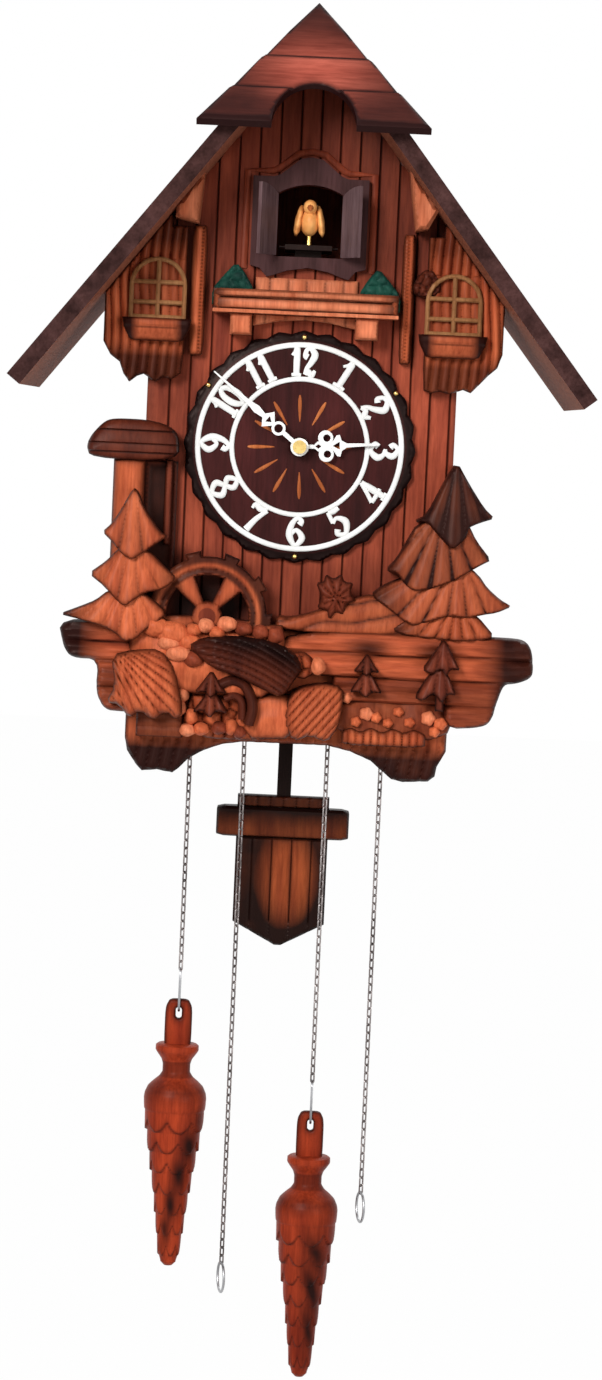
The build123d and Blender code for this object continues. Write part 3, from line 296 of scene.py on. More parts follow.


# Blocks of (points, faces, darkening by scorching and painted shade, material)

def solid(name, blocks, stands_for=None, body=ROOT, smooth=38):
    """One object from blocks, in place of a CAD node."""
    verts, faces, burn_and_shade, kinds, marks = [], [], [], [], []
    for points, sides, dark, kind in blocks:
        if kind not in kinds:
            kinds.append(kind)
        start = len(verts)
        verts += [place(*point) for point in points]
        faces += [tuple(v + start for v in face) for face in sides]
        burn_and_shade += list(dark)
        marks += [kinds.index(kind)] * len(sides)
    mesh = bpy.data.meshes.new(name)
    mesh.from_pydata(verts, [], faces)
    shell = bmesh.new()
    shell.from_mesh(mesh)
    bmesh.ops.recalc_face_normals(shell, faces=shell.faces)
    shell.to_mesh(mesh)
    shell.free()
    mesh.shade_smooth()
    mesh.set_sharp_from_angle(angle=math.radians(smooth))
    attribute = mesh.attributes.new("burn_and_shade", "FLOAT", "POINT")
    attribute.data.foreach_set("value", np.asarray(burn_and_shade, dtype=np.float32))
    for kind in kinds:
        mesh.materials.append(MATS[kind])
    mesh.polygons.foreach_set("material_index", marks)
    made = add(name, mesh)
    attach(made, body)
    if stands_for:
        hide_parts(stands_for)


def carve(
    points, back, front, material, shape=None, rim=2.5, step=1.3, holes=(), lines=(), scorch_and_shade=0.9, width=2.5
):
    """Block cut to an outline; shape(x, z, d) gives its face's rise and darkening, by scorching and painted
    shade, at places d from the edge.

    The edge is rounded over rim and darkened over width, by scorching and painted shade; lines are kept as
    edges of the mesh.
    """
    loops = [dense(list(loop), step) for loop in (points, *holes)]
    low = np.min(loops[0], axis=0)
    high = np.max(loops[0], axis=0)
    gx, gz = np.meshgrid(np.arange(low[0], high[0], step), np.arange(low[1], high[1], step * 0.87))
    gx = gx + (np.arange(gx.shape[0]) % 2)[:, None] * step / 2
    gx, gz = gx.ravel(), gz.ravel()
    keep = inside(loops, gx, gz) & (edge_distance(loops, gx, gz) > 0.55 * step)
    if lines:
        keep &= edge_distance([line + line[-2:0:-1] for line in lines], gx, gz) > 0.3
    flat, edges = [], []
    for path, open_end in [(loop, 0) for loop in loops] + [(line, 1) for line in lines]:
        start = len(flat)
        edges += [(start + i, start + (i + 1) % len(path)) for i in range(len(path) - open_end)]
        flat += [Vector(p) for p in path]
    flat += [Vector(p) for p in zip(gx[keep], gz[keep])]
    spots, _, tris, *_ = geometry.delaunay_2d_cdt(flat, edges, [], 0, 1e-5)
    xz = np.array([tuple(spot) for spot in spots])
    centres = np.array([xz[list(face)].mean(axis=0) for face in tris])
    tris = [tuple(face) for face, good in zip(tris, inside(loops, *centres.T)) if good]
    x, z = xz.T
    d = edge_distance(loops, x, z)
    drop = rim * (1 - np.sqrt(1 - (1 - unit(d / rim)) ** 2))
    rise, dark = shape(x, z, d) if shape else (0, 0)
    out = np.maximum(front + rise - drop, back + 0.8)
    # darker towards the edge, by scorching and painted shade
    dark = np.maximum(dark, scorch_and_shade * np.exp(-d / width))
    below = len(xz)
    sides = {edge for face in tris for edge in pairs(face)}
    faces = tris + [(b, a, a + below, b + below) for a, b in sides if (b, a) not in sides]
    faces += [tuple(v + below for v in reversed(face)) for face in tris]
    return [*zip(x, out, z), *zip(x, np.full(below, back), z)], faces, np.tile(dark, 2), material


def bent(block, bend):
    """The same block with each point moved by bend(x, out, z)."""
    points, faces, dark, kind = block
    return [bend(*point) for point in points], faces, dark, kind


def curve(points, per=6):
    """Smooth rows through rows of numbers."""
    rows = np.array(points, float)
    rows = np.vstack([2 * rows[0] - rows[1], rows, 2 * rows[-1] - rows[-2]])
    t = np.linspace(0, 1, per, endpoint=False)[:, None]
    made = []
    for a, b, c, d in zip(rows, rows[1:], rows[2:], rows[3:]):
        bend = (2 * a - 5 * b + 4 * c - d) * t**2 + (3 * b - a - 3 * c + d) * t**3
        made.append(0.5 * (2 * b + (c - a) * t + bend))
    return np.vstack([*made, rows[-2]])


def skin(rings, kind, dark=0.0, closed=False):
    """Skin over rings of points of one length, joined in a loop or capped at both ends."""
    rings = np.array(rings, float)
    rows, sides = rings.shape[:2]
    faces = []
    for i in range(rows if closed else rows - 1):
        here, there = i * sides, (i + 1) % rows * sides
        for k in range(sides):
            m = (k + 1) % sides
            faces.append((here + k, here + m, there + m, there + k))
    if not closed:
        faces += [tuple(range(sides)), tuple(range((rows - 1) * sides, rows * sides))]
    return rings.reshape(-1, 3), faces, np.broadcast_to(dark, (rows, sides)).ravel(), kind


def tube(path, radii, kind, closed=False, across=(0, 1, 0), sides=8, deep=1.0, dark=0.0):
    """Wire along (x, out, z) points that lie square to across; deep flattens it that way."""
    path = np.array(path, float)
    ahead = np.roll(path, -1, 0) - np.roll(path, 1, 0)
    if not closed:
        ahead[0] = path[1] - path[0]
        ahead[-1] = path[-1] - path[-2]
    beside = np.cross(ahead, across)
    beside /= np.linalg.norm(beside, axis=1)[:, None]
    radii = np.broadcast_to(radii, len(path))[:, None, None]
    turns = around(sides)[None, :, None]
    spread = np.cos(turns) * beside[:, None] + deep * np.sin(turns) * np.array(across)
    return skin(path[:, None] + radii * spread, kind, dark, closed)


def blob(middle, radii, kind, form=None, rows=14, sides=24):
    """Rounded lump; form(u, v, w) scales it at each direction (across, out, up)."""
    rings = []
    for tilt in np.linspace(0.06, math.pi - 0.06, rows):
        ring = []
        for turn in around(sides):
            way = (math.sin(tilt) * math.cos(turn), math.sin(tilt) * math.sin(turn), math.cos(tilt))
            size = form(*way) if form else 1.0
            ring.append([m + r * w * size for m, r, w in zip(middle, radii, way)])
        rings.append(ring)
    return skin(rings, kind)


# Shapes of carved faces: each gives the rise and the darkening, by scorching and painted shade, at places d
# from the edge

def unit(value):
    """Held between nought and one."""
    return np.clip(value, 0, 1)


def near(gap, width):
    """One at a line, fading to nought away from it."""
    return np.exp(-np.abs(gap) / width)


def maker(form):
    """Turn form(x, z, d, and sizes) into a function of the sizes that gives a shape."""
    def with_sizes(*sizes):
        return lambda x, z, d: form(x, z, d, *sizes)
    return with_sizes


def ridges(turns, height, power=0.7, dark=0.8):
    """Rounded flutes with sharp darker valleys at whole turns."""
    wave = np.abs(np.sin(math.pi * turns))
    return height * (wave**power - 1), dark * (1 - wave) ** 3


@maker
def fan(x, z, d, apex, count, height, spread):
    """Flutes that run out from a point, count of them over the spread in degrees."""
    angle = np.degrees(np.arctan2(x - apex[0], apex[1] - z))
    return ridges(angle / spread * count, height)


@maker
def staves(x, z, d, pitch, height):
    return ridges(x / pitch, height)


@maker
def cells(x, z, d, seeds, height):
    """Rounded lumps, one about each seed."""
    gaps = np.sort([np.hypot(x - sx, z - sz) for sx, sz in seeds], axis=0)
    share = unit((gaps[1] - gaps[0]) / 5.0)
    return height * (np.sqrt(share) - 1), 0.9 * (1 - share) ** 3


def scatter(x0, x1, z0, z1, pitch):
    """Seeds on a jittered grid."""
    spots = []
    for row, z in enumerate(np.arange(z0, z1, pitch)):
        for x in np.arange(x0 + (row % 2) * pitch / 2, x1, pitch):
            spots.append((x + rng.uniform(-0.3, 0.3) * pitch, z + rng.uniform(-0.3, 0.3) * pitch))
    return spots


@maker
def skirt(x, z, d, apex, base_z, flutes, reach, char):
    """One tier of a conifer: it stands out towards its foot, fluted by drooping boughs."""
    down = unit((apex[1] - z) / (apex[1] - base_z))
    angle = np.degrees(np.arctan2(x - apex[0], apex[1] + 6 - z))
    rise, dark = ridges(angle / 130 * flutes + 0.5, 3.2 * (0.15 + 0.85 * down), 0.85, 0.85)
    away = np.abs(x - apex[0]) / reach
    tips = unit(1.25 * away + 0.25 * down - 0.55)
    return rise + 6.0 * (down - 1) - 2.0 * away**2, np.maximum(char + dark * down, 0.85 * tips)


@maker
def courses(x, z, d, lines, height):
    """Overlapping rows whose lower edges lie at the given heights."""
    drop = sum(np.where(z > at, 0.0, np.exp((z - at) / 9.0)) for at in lines)
    return -height * drop, 0.9 * np.max([near(z - at + 0.6, 1.2) for at in lines], axis=0)


@maker
def dome(x, z, d, height, reach):
    """Block that swells up from its edges."""
    return -height * np.exp(-d / reach), 0 * x


@maker
def charred(x, z, d, share):
    """Even darkening."""
    return 0 * x, 0 * x + share


@maker
def lumps(x, z, d, height, size):
    """Slow hand-tool unevenness."""
    wave = np.sin(x / size + 1.7 * np.sin(z / size))
    wave = wave * np.sin(z / (0.8 * size) + 1.3 * np.sin(x / (1.4 * size)))
    return height * wave, 0.25 * unit(-wave)


@maker
def both(x, z, d, *shapes):
    """Shapes on top of one another."""
    rises, darks = zip(*(shape(x, z, d) for shape in shapes))
    return sum(rises), np.max(darks, axis=0)


# Camera as the photograph was taken, soft lamps, white surroundings and a pale floor

def seen_directly(tree):
    """One for rays from the camera, or from polished or clear surfaces, and nought for the light itself."""
    path = node(tree, "LightPath").outputs
    shiny = arithmetic(tree, "MAXIMUM", path["Is Glossy Ray"], path["Is Transmission Ray"])
    return arithmetic(tree, "MAXIMUM", path["Is Camera Ray"], shiny)


def join(tree, share, first, second, output):
    """Mix of two shaders as what the output shows."""
    mix = node(tree, "MixShader", {0: share, 1: first.outputs[0], 2: second.outputs[0]})
    tree.links.new(mix.outputs[0], tree.nodes[output].inputs["Surface"])


def stage_and_light():
    scene = bpy.context.scene
    scene.view_settings.view_transform = "Standard"
    pitch, yaw, roll = (math.radians(v) for v in CAMERA_TURN)
    ahead = Vector((math.sin(yaw) * math.cos(pitch), math.cos(yaw) * math.cos(pitch), -math.sin(pitch)))
    right = Vector((math.cos(yaw), -math.sin(yaw), 0))
    up = right.cross(ahead)
    across = right * math.cos(roll) + up * math.sin(roll)
    upward = up * math.cos(roll) - right * math.sin(roll)
    camera = add("camera", bpy.data.cameras.new("camera"))
    camera.data.lens = LENS
    camera.data.sensor_width = SENSOR
    turned = Matrix((across, upward, -ahead)).transposed().to_4x4()
    camera.matrix_world = Matrix.Translation(CAMERA_AT) @ turned
    scene.camera = camera
    for name, at, size, power in LAMPS:
        lamp = add(name, bpy.data.lights.new(name, "AREA"))
        lamp.data.size = size
        lamp.data.energy = power
        lamp.location = at
        lamp.rotation_euler = (Vector(LAMP_AIM) - Vector(at)).to_track_quat("-Z", "Y").to_euler()
    scene.world = bpy.data.worlds.new("studio")
    scene.world.use_nodes = True
    tree = scene.world.node_tree
    seen = tree.nodes["Background"]
    fill(tree, seen, {"Color": WHITE, "Strength": 1.0})
    lit = node(tree, "Background", {"Color": WHITE, "Strength": AMBIENT})
    join(tree, seen_directly(tree), lit, seen, "World Output")
    pale, tree, shader = new_material("pale floor")
    tint = ramp(tree, noise(tree, 3, 2), (0.3, grey(0.86)), (0.7, grey(0.9)))
    fill(tree, shader, {"Base Color": tint, "Roughness": 0.8})
    share = arithmetic(tree, "MULTIPLY", seen_directly(tree), FLOOR_GLOW)
    join(tree, share, shader, node(tree, "Emission"), "Material Output")
    mesh = bpy.data.meshes.new("floor")
    corners = box(-FLOOR_HALF, FLOOR_HALF, -FLOOR_HALF, FLOOR_HALF)
    mesh.from_pydata([(x, y, FLOOR_Z) for x, y in corners], [], [(0, 1, 2, 3)])
    mesh.materials.append(pale)
    add("floor", mesh)


# Case and roof

PLANK_PITCH = 12.0
WHEEL_AT = (-50.5, -103.0)
ROOF_LEAN = math.radians(51.9)
ROOF_UNDERSIDE = 255.0 - 9.5 / math.cos(ROOF_LEAN)
CASE_HALF_W = 92.5
PANEL_BACK = 112.0
HAND_HOLE = circle(0, 0, 4.2)


def eaves(x):
    """Height of the roof's underside."""
    return ROOF_UNDERSIDE - math.tan(ROOF_LEAN) * abs(x)


def planks(x, z, d):
    """Matched boards with dark V grooves between them, with painted shade at the left, high, low and behind
    the wheel.
    """
    turns = x / PLANK_PITCH - 0.4
    gap = np.abs(turns - np.round(turns)) * PLANK_PITCH
    # painted shade: at the left, high up under the roof and the hip, right of the door and below the dial
    shade = 0.14 * unit((75 - x) / 15) + 0.2 * unit((-x - 55) / 20)
    shade += 0.22 * unit((z - 70) / 40) + 0.3 * unit((z - 165) / 50)
    shade += 0.24 * unit((z - 95) / 25) * unit((x - 18) / 12)
    shade += 0.22 * unit((-60 - z) / 14) * unit((78 - x) / 20)
    # painted shadow on the boards behind the wheel, seen through its openings
    shade = np.maximum(shade, 0.95 * unit(1.6 - np.hypot(x - WHEEL_AT[0], z - WHEEL_AT[1]) / 26))
    return -1.1 * unit(1 - gap / 0.9), np.maximum(0.95 * unit(1.05 - gap / 0.95), shade)


gable = [
    (-CASE_HALF_W, -178), (CASE_HALF_W, -178), (CASE_HALF_W, eaves(CASE_HALF_W)), (0, eaves(0)),
    (-CASE_HALF_W, eaves(CASE_HALF_W)),
]
doorway = arch(20.3, 112.8, 149.7, 155.7)
grooves = []
for n in range(-7, 8):
    for dx in (-0.9, 0, 0.9):
        x = PLANK_PITCH * (n + 0.4) + dx
        ends = [-176.5, eaves(x) - 1.5]
        if abs(x) < 21.5:
            ends[1:1] = [111.5, 157.0]     # below and above the bird's door
        if abs(x) < 6.5:
            ends[1:1] = [-7.0, 7.0]        # below and above the hole for the hands
        for low, high in zip(ends[::2], ends[1::2]):
            grooves.append([(x, z) for z in np.linspace(low, high, max(2, int((high - low) / 4)))])
front = carve(gable, PANEL_BACK, CASE_DEPTH, "panel", planks, 0.6, 4.0, [doorway, HAND_HOLE], grooves, 0.5)
half_border = [(38, 105), (38, 163.3), (23, 163.5), (19.8, 164.8), (15, 168.4), (8, 174.2), (0, 175.6)]
border = [(x, CASE_DEPTH, z) for x, z in half_border + mirrored(half_border)[1:]]
solid("front_panel_planks", [front, tube(border, 2.2, "brown", sides=10, deep=0.6)], "front_panel")

HIP_FOOT = (203.0, 187.0)
HIP_HALF_W = 67.8
HIP_RUN = (68, 76)                     # how far back and up the board runs
HIP_LENGTH = math.hypot(*HIP_RUN)
HIP_ARCH = (24.6, 34)                  # half width and height of the cut-out
HIP_COURSES = (28.0, 55.0)


def on_hip(x, out, z):
    """From a flat board, z along it and depth 0 at its face, to the leaning hip."""
    back, up = (run / HIP_LENGTH for run in HIP_RUN)
    return x, HIP_FOOT[0] - back * z + up * out, HIP_FOOT[1] + up * z + back * out


def hip_face(x, z, d):
    """Two lapped courses, darker away from the middle."""
    rise = 0 * x
    dark = 0.88 * (1 - np.exp(-((x / 34) ** 2) - ((z - 44) / 25) ** 2))
    dark = np.maximum(dark, unit((9 - z) / 6))
    for at in HIP_COURSES:
        rise -= np.where(z > at, 2.0 * unit(1 - (z - at) / 22), 0)
        dark = np.maximum(dark, unit(2.1 - np.abs(z - at - 0.2)))
    return rise, dark


turns = np.linspace(0, math.pi, 25)[::-1]
hip_outline = [(HIP_HALF_W, 0), (0, HIP_LENGTH), (-HIP_HALF_W, 0)]
hip_outline += [(HIP_ARCH[0] * math.cos(a), HIP_ARCH[1] * math.sin(a)) for a in turns]
laps = []
for at in HIP_COURSES:
    for z in (at - 1.1, at - 0.4, at + 0.4, at + 1.4):
        reach = HIP_HALF_W * (1 - z / HIP_LENGTH) - 1.5
        spans = [(-reach, reach)]
        if at < HIP_ARCH[1]:
            gap = HIP_ARCH[0] * math.sqrt(1 - (z / HIP_ARCH[1]) ** 2) + 1.5
            spans = [(-reach, -gap), (gap, reach)]
        for low, high in spans:
            laps.append([(x, z) for x in np.linspace(low, high, int((high - low) / 2))])
hip = carve(hip_outline, -6, 0, "hip", hip_face, 1.0, 2.0, (), laps, 1.0, 2.2)
solid("hip_roof_board", [bent(hip, on_hip)], "roof_hip")

brackets = [
    [(-63, eaves(63)), (-65.5, 129.5), (-79, 132.5), (-79, eaves(79))],
    [(58, eaves(58)), (63, 130.5), (70.5, 132), (76, eaves(76))],
]
solid(
    "eave_bracket_carvings",
    [carve(points, CASE_DEPTH, 146, "light", lumps(0.4, 7), 2.5, 1.8, scorch_and_shade=0.5) for points in brackets],
    "eave_brackets",
)

# Shingled wings with windows, flower boxes and the balcony

WING_OUT = 134.0
WINDOWS = ((-88.0, 72.0), (88.0, 69.5))    # middle and sill
wing_left = [
    (-119.5, 58), (-115, 50), (-109.4, 46), (-106.7, 39), (-103.3, 34.5), (-99, 38), (-95, 39.5), (-88, 35),
    (-83, 38), (-78, 37), (-73, 40.5), (-71.7, 54), (-71.7, 128), (-81, 128), (-81, eaves(81)),
    (-119.5, eaves(119.5)),
]
wing_right = [
    (118.3, eaves(118.3)), (81, eaves(81)), (81, 128), (71.7, 128), (71.7, 49.5), (72.5, 37), (77, 35.5),
    (82, 36.7), (88, 35.5), (96, 38.3), (100.5, 36.7), (105.5, 42), (110, 47), (115.5, 52), (118.3, 60),
]


def wing_face(x, z, d):
    """Fluted staves, darker at their ends and behind the windows, with painted light on the right wing."""
    rise, dark = ridges((x + 1.2 * np.sin(z / 13)) / 5.8, 3.4, 0.75, 0.8)
    dark = np.maximum(dark, 0.9 * unit((62 - z) / 12))
    # painted light: the right wing's darkening is cut back more than the left's
    dark = np.maximum(dark, 0.82 * unit((z - 98) / 22)) * np.where(x > 0, 0.82, 0.94)
    for middle, sill in WINDOWS:
        pane = (np.abs(x - middle) < 16) & (z > sill) & (z < sill + 36)
        rise = np.where(pane, 0.5 * rise - 1.2, rise)
        dark = np.where(pane, np.maximum(dark, 0.35), dark)
    return rise, dark


bush = [(64, 93), (63, 99), (66, 105), (71, 109), (76, 107), (80, 101), (79, 94), (72, 92)]
wings = []
for points in (wing_left, wing_right):
    wings.append(carve(points, CASE_DEPTH, WING_OUT, "carved", wing_face, 2.2, 0.9))
for x0, x1, pitch in ((-69, -60, 4.5), (56.5, 64, 3.75)):
    batten = rounded(box(x0, x1, 52, 129), 2, 0.1)
    wings.append(carve(batten, CASE_DEPTH, 129, "carved", staves(pitch, 1.8), 2.5, 1.2))
twigs = both(cells(scatter(62, 82, 92, 110, 5), 3), charred(0.6))
wings.append(carve(rounded(bush), 126, 136, "brown", twigs, 2.5, 1.0))
solid("shingled_wings", wings, "gable_wings")


@maker
def box_face(x, z, d, middle, sill):
    """Bulging box under a lip, dark towards its ends."""
    u = (x - middle) / 20.5
    lip = unit((z - sill + 4.6) / 0.6)
    belly = -0.05 * np.clip(sill - 4.6 - z, 0, 9) ** 2
    dark = np.maximum(0.9 * near(z - sill + 5.0, 0.7), np.clip(2.2 * np.abs(u) - 0.7, 0.36, 1))
    return 1.4 * lip - 1.4 - 6 * u**2 + belly, dark


boxes = []
half_box = [(13, -13), (16, -12), (19.5, -5), (20.5, 0.5)]
for middle, sill in WINDOWS:
    points = [(middle + x, sill + z) for x, z in mirrored(half_box) + half_box]
    boxes.append(carve(points, WING_OUT, 147, "carved", box_face(middle, sill), 1.6, 1.0))
solid("flower_box_carvings", boxes, "flower_boxes")

WINDOW_BAR = 2.6
WINDOW_HALF_W = 17.0
WINDOW_H = 37.0
frames = []
for middle, sill in WINDOWS:
    outer, inner = [
        [(middle + x, z) for x, z in arch(WINDOW_HALF_W - bar, sill + bar, sill + 19, sill + WINDOW_H - bar)]
        for bar in (0.0, WINDOW_BAR)
    ]
    frames.append(carve(outer, WING_OUT, WING_OUT + 2.5, "window", None, 0.8, 0.9, [inner], (), 0.2))
    half = WINDOW_BAR / 2
    bars = [(middle - half, middle + half, sill + 1, sill + WINDOW_H - 1)]
    bars += [(middle - 15.5, middle + 15.5, sill + up - half, sill + up + half) for up in (10, 22)]
    for bar in bars:
        frames.append(carve(box(*bar), WING_OUT, WING_OUT + 2.4, "window", None, 0.8, 0.9, scorch_and_shade=0.2))
solid("window_frame_bars", frames, "window_frames")

RAIL_HALF_W = 55.0
RAIL_BOW = 8.0


def bowed(x, out, z):
    return x, out - RAIL_BOW * (x / RAIL_HALF_W) ** 2, z


def rail_face(x, z, d):
    """Scorched towards its ends."""
    return 0.3 * np.sin(x / 8) * np.cos(z / 8), 0.85 * unit((np.abs(x) - 40) / 12)


rail = []
for low, high, back, out, burn_and_shade, fade in ((87.2, 92, 142, 148.5, 0.7, 2.5), (80, 87.0, 143, 147.5, 1.0, 1.6)):
    points = box(-RAIL_HALF_W, RAIL_HALF_W, low, high)
    rail.append(bent(carve(points, back, out, "light", rail_face, 2.2, 1.2, (), (), burn_and_shade, fade), bowed))
for x0, x1 in ((-54.6, -50.6), (50.6, 54.6)):
    rail.append(carve(box(x0, x1, 80, 92), CASE_DEPTH, 140.5, "carved", None, 1.2, 1.6))
solid("balcony_rail_bars", rail, "balcony_rail")

crest = [(-31, 78), (-31, 71), (-15, 74.4), (0, 75.5), (15, 74.4), (31, 71), (31, 78)]
# painted light: the deck and the crest below it take the pale wood, to make up for the shade under the deck
deck = [
    carve(box(-55, 55, 78, 80), CASE_DEPTH, 145, "light", None, 0.6, 2.0, scorch_and_shade=0.2),
    carve(box(-44.5, -31.6, 65.2, 78), CASE_DEPTH, 140, "light", lumps(0.3, 5), 1.6, 1.4, scorch_and_shade=0.5),
    carve(box(30, 43.4, 65.2, 78), CASE_DEPTH, 140, "light", lumps(0.3, 5), 1.6, 1.4, scorch_and_shade=0.5),
    carve(box(-30.5, 30.5, 80, 100), CASE_DEPTH, 123, "light", staves(11.0, 0.7), 0.8, 1.2, scorch_and_shade=0.4),
    carve(crest, CASE_DEPTH, 130, "light", staves(12.0, 0.7), 1.2, 1.2, scorch_and_shade=0.35),
]
solid("balcony_floor", deck, "balcony_deck")

hedge = [(-56, 80), (-56, 92), (-49.5, 100), (-42.4, 108), (-37, 102), (-31, 92), (-31, 80)]
hedges = []
for points, x in ((hedge, -58), (mirrored(hedge), 29)):
    leaves = cells(scatter(x, x + 29, 78, 110, 5.5), 2.2)
    hedges.append(carve(rounded(points, 1), 123, 134, "green", leaves, 2.0, 0.9))
solid("balcony_hedge_leaves", hedges, "balcony_hedges")

# Dial, numerals and trim

DIAL_OUT = 126.0
DIAL_R = 67.4                          # at the foot of its lobes
LOBE_RISE = 2.1
LOBES = 28
BAND = (42.0, 59.2)
# Strokes of each digit: hundredths across and up its box, and half width in tenths of a mm
DIGITS = {
    "1": [
        [(10, 74, 5), (34, 86, 7), (52, 100, 11), (52, 50, 12), (52, 0, 11)],
        [(12, 2, 6), (52, 4, 8), (92, 2, 6)],
    ],
    "2": [
        [(30, 68, 12), (10, 74, 10), (20, 95, 8), (55, 100, 9), (90, 78, 13), (62, 50, 11), (25, 27, 8),
         (10, 5, 7)],
        [(10, 5, 7), (38, 16, 10), (66, 2, 11), (95, 20, 6)],
    ],
    "3": [
        [(28, 72, 12), (12, 84, 9), (40, 100, 8), (82, 82, 12), (66, 58, 9), (40, 54, 6)],
        [(40, 54, 6), (78, 46, 9), (92, 24, 13), (52, 0, 9), (10, 14, 9), (26, 28, 12)],
    ],
    "4": [
        [(72, 100, 9), (36, 62, 8), (2, 28, 8)],
        [(2, 28, 8), (50, 27, 8), (100, 30, 7)],
        [(72, 100, 9), (72, 50, 13), (72, 0, 10)],
        [(45, 2, 6), (98, 2, 6)],
    ],
    "5": [
        [(90, 98, 9), (50, 94, 10), (20, 100, 8)],
        [(20, 100, 8), (18, 78, 8), (16, 56, 7)],
        [(16, 56, 7), (52, 66, 8), (92, 40, 13), (60, 2, 9), (12, 12, 9), (26, 28, 12)],
    ],
    "6": [
        [(72, 76, 12), (84, 90, 9), (56, 100, 8), (22, 74, 11), (12, 34, 13), (48, 0, 8), (90, 27, 12),
         (54, 56, 8), (16, 36, 7)],
    ],
    "7": [[(6, 80, 6), (12, 98, 8), (50, 92, 11), (95, 100, 8)], [(95, 100, 8), (62, 52, 10), (44, 0, 13)]],
    "8": [
        [(50, 54, 8), (16, 74, 11), (50, 100, 8), (84, 78, 11), (50, 54, 8)],
        [(50, 54, 8), (8, 27, 12), (50, 0, 8), (92, 27, 12), (50, 54, 8)],
    ],
    "0": [[(50, 100, 8), (10, 75, 11), (6, 30, 12), (50, 0, 8), (94, 30, 12), (90, 75, 11), (50, 100, 8)]],
}
DIGITS["9"] = [[(100 - x, 100 - z, r) for x, z, r in path] for path in DIGITS["6"]]
INWARD = (4, 5, 6, 7, 8)


def numeral(hour):
    """Blocks of one figure, its top outwards, or inwards along the foot of the dial."""
    text = str(hour)
    width = 9.6 if len(text) == 1 else 7.0
    height = BAND[1] - BAND[0] - 1.0
    middle = sum(BAND) / 2
    turn = math.radians(30 * hour)
    spin = turn + (math.pi if hour in INWARD else 0)
    blocks = []
    for count, digit in enumerate(text):
        shift = (count - (len(text) - 1) / 2) * (width + 1.0)
        for path in DIGITS[digit]:
            x, z, r = (curve(path) / (100, 100, 10)).T
            across = shift + (x - 0.5) * width
            up = (z - 0.5) * height
            xs = middle * math.sin(turn) + across * math.cos(spin) + up * math.sin(spin)
            zs = middle * math.cos(turn) - across * math.sin(spin) + up * math.cos(spin)
            points = np.stack([xs, np.full(len(xs), DIAL_OUT + 0.55), zs], axis=1)
            blocks.append(tube(points, 1.62 * r, "white", deep=0.6))
    return blocks


solid("dial_numerals", [block for hour in range(1, 13) for block in numeral(hour)], smooth=60)

trim = []
for inner, outer in ((BAND[1], 62.5), (39.0, BAND[0])):
    ring = [(x, DIAL_OUT + 0.6, z) for x, z in circle(0, 0, (inner + outer) / 2, 120)]
    trim.append(tube(ring, (outer - inner) / 2, "white", closed=True, sides=12, deep=0.55))
for x, z in ((-56.0, 34.5), (56.0, 34.5), (0, -65.5), (0, 65.5)):
    trim.append(blob((x, DIAL_OUT + 0.4, z), (1.6, 1.4, 1.6), "brass", rows=8, sides=14))
solid("dial_rings", trim, "dial_trim", smooth=60)

RAY_SWELL = [0.25, 0.5, 0.7, 0.85, 1.0, 1.1, 1.1, 0.9, 0.4]
rays = []
for count in range(12):
    turn = math.radians(30 * count - 2)
    path = [(r * math.sin(turn), DIAL_OUT, r * math.cos(turn)) for r in np.linspace(15, 31, len(RAY_SWELL))]
    rays.append(tube(path, RAY_SWELL, "ray", deep=0.45))
solid("dial_rays", rays, smooth=60)

HOUR_HAND_OUT = (130.5, 131.7)
HOUR_LEAN = math.radians(4.5)          # above the way to the right


def along_hour(x, out, z):
    """From a hand that points right to the hour shown."""
    c, s = math.cos(HOUR_LEAN), math.sin(HOUR_LEAN)
    return x * c - z * s, out, x * s + z * c


spade = [(17.5, 0), (20.2, 3.0), (22.4, 6.2), (24.2, 6.5), (25.2, 3.2), (28, 1.4)]
hand_parts = [
    (circle(0, 0, 5.4), [circle(0, 0, 3.7)]),
    (box(4.6, 8.4, -1.2, 1.2), []),
    ([(7.4, 0), (11.2, 3.1), (15.2, 0), (11.2, -3.1)], [[(9.5, 0), (11.2, 1.4), (13.1, 0), (11.2, -1.4)]]),
    (circle(15.8, 4.9, 4.5), [circle(16.5, 4.8, 2.2, 20)]),
    (circle(15.8, -4.9, 4.5), [circle(16.5, -4.8, 2.2, 20)]),
    (box(14.4, 18.6, -1.2, 1.2), []),
    (spade + [(x, -z) for x, z in spade[:0:-1]], [[(19.7, 0), (24.0, 2.3), (24.0, -2.3)]]),
    ([(27, -1.3), (47.4, -0.6), (47.4, 0.6), (27, 1.3)], []),
]
hand = [carve(points, *HOUR_HAND_OUT, "white", None, 0.4, 0.9, holes) for points, holes in hand_parts]
solid("hour_hand_filigree", [bent(part, along_hour) for part in hand], "hour_hand", "hour_train")


def dial_edge(turn):
    """The lobed rim, as in the solid."""
    return DIAL_R + LOBE_RISE * math.sqrt(1 - abs(math.sin(LOBES / 2 * turn)))


def dial_face(x, z, d):
    """Dark towards its stepped rim."""
    r = np.hypot(x, z)
    step = 1 - unit((64.5 - r) / 1.2)
    return -0.9 * step, 0.9 * step + 0.35 * unit((r - 30) / 40)


lobed = [(dial_edge(a) * math.cos(a), dial_edge(a) * math.sin(a)) for a in around(12 * LOBES)]
board = carve(lobed, CASE_DEPTH, DIAL_OUT, "dial", dial_face, 1.4, 1.6, [HAND_HOLE])
solid("dial_face_board", [board], "dial_disc")

# Carved mill scene

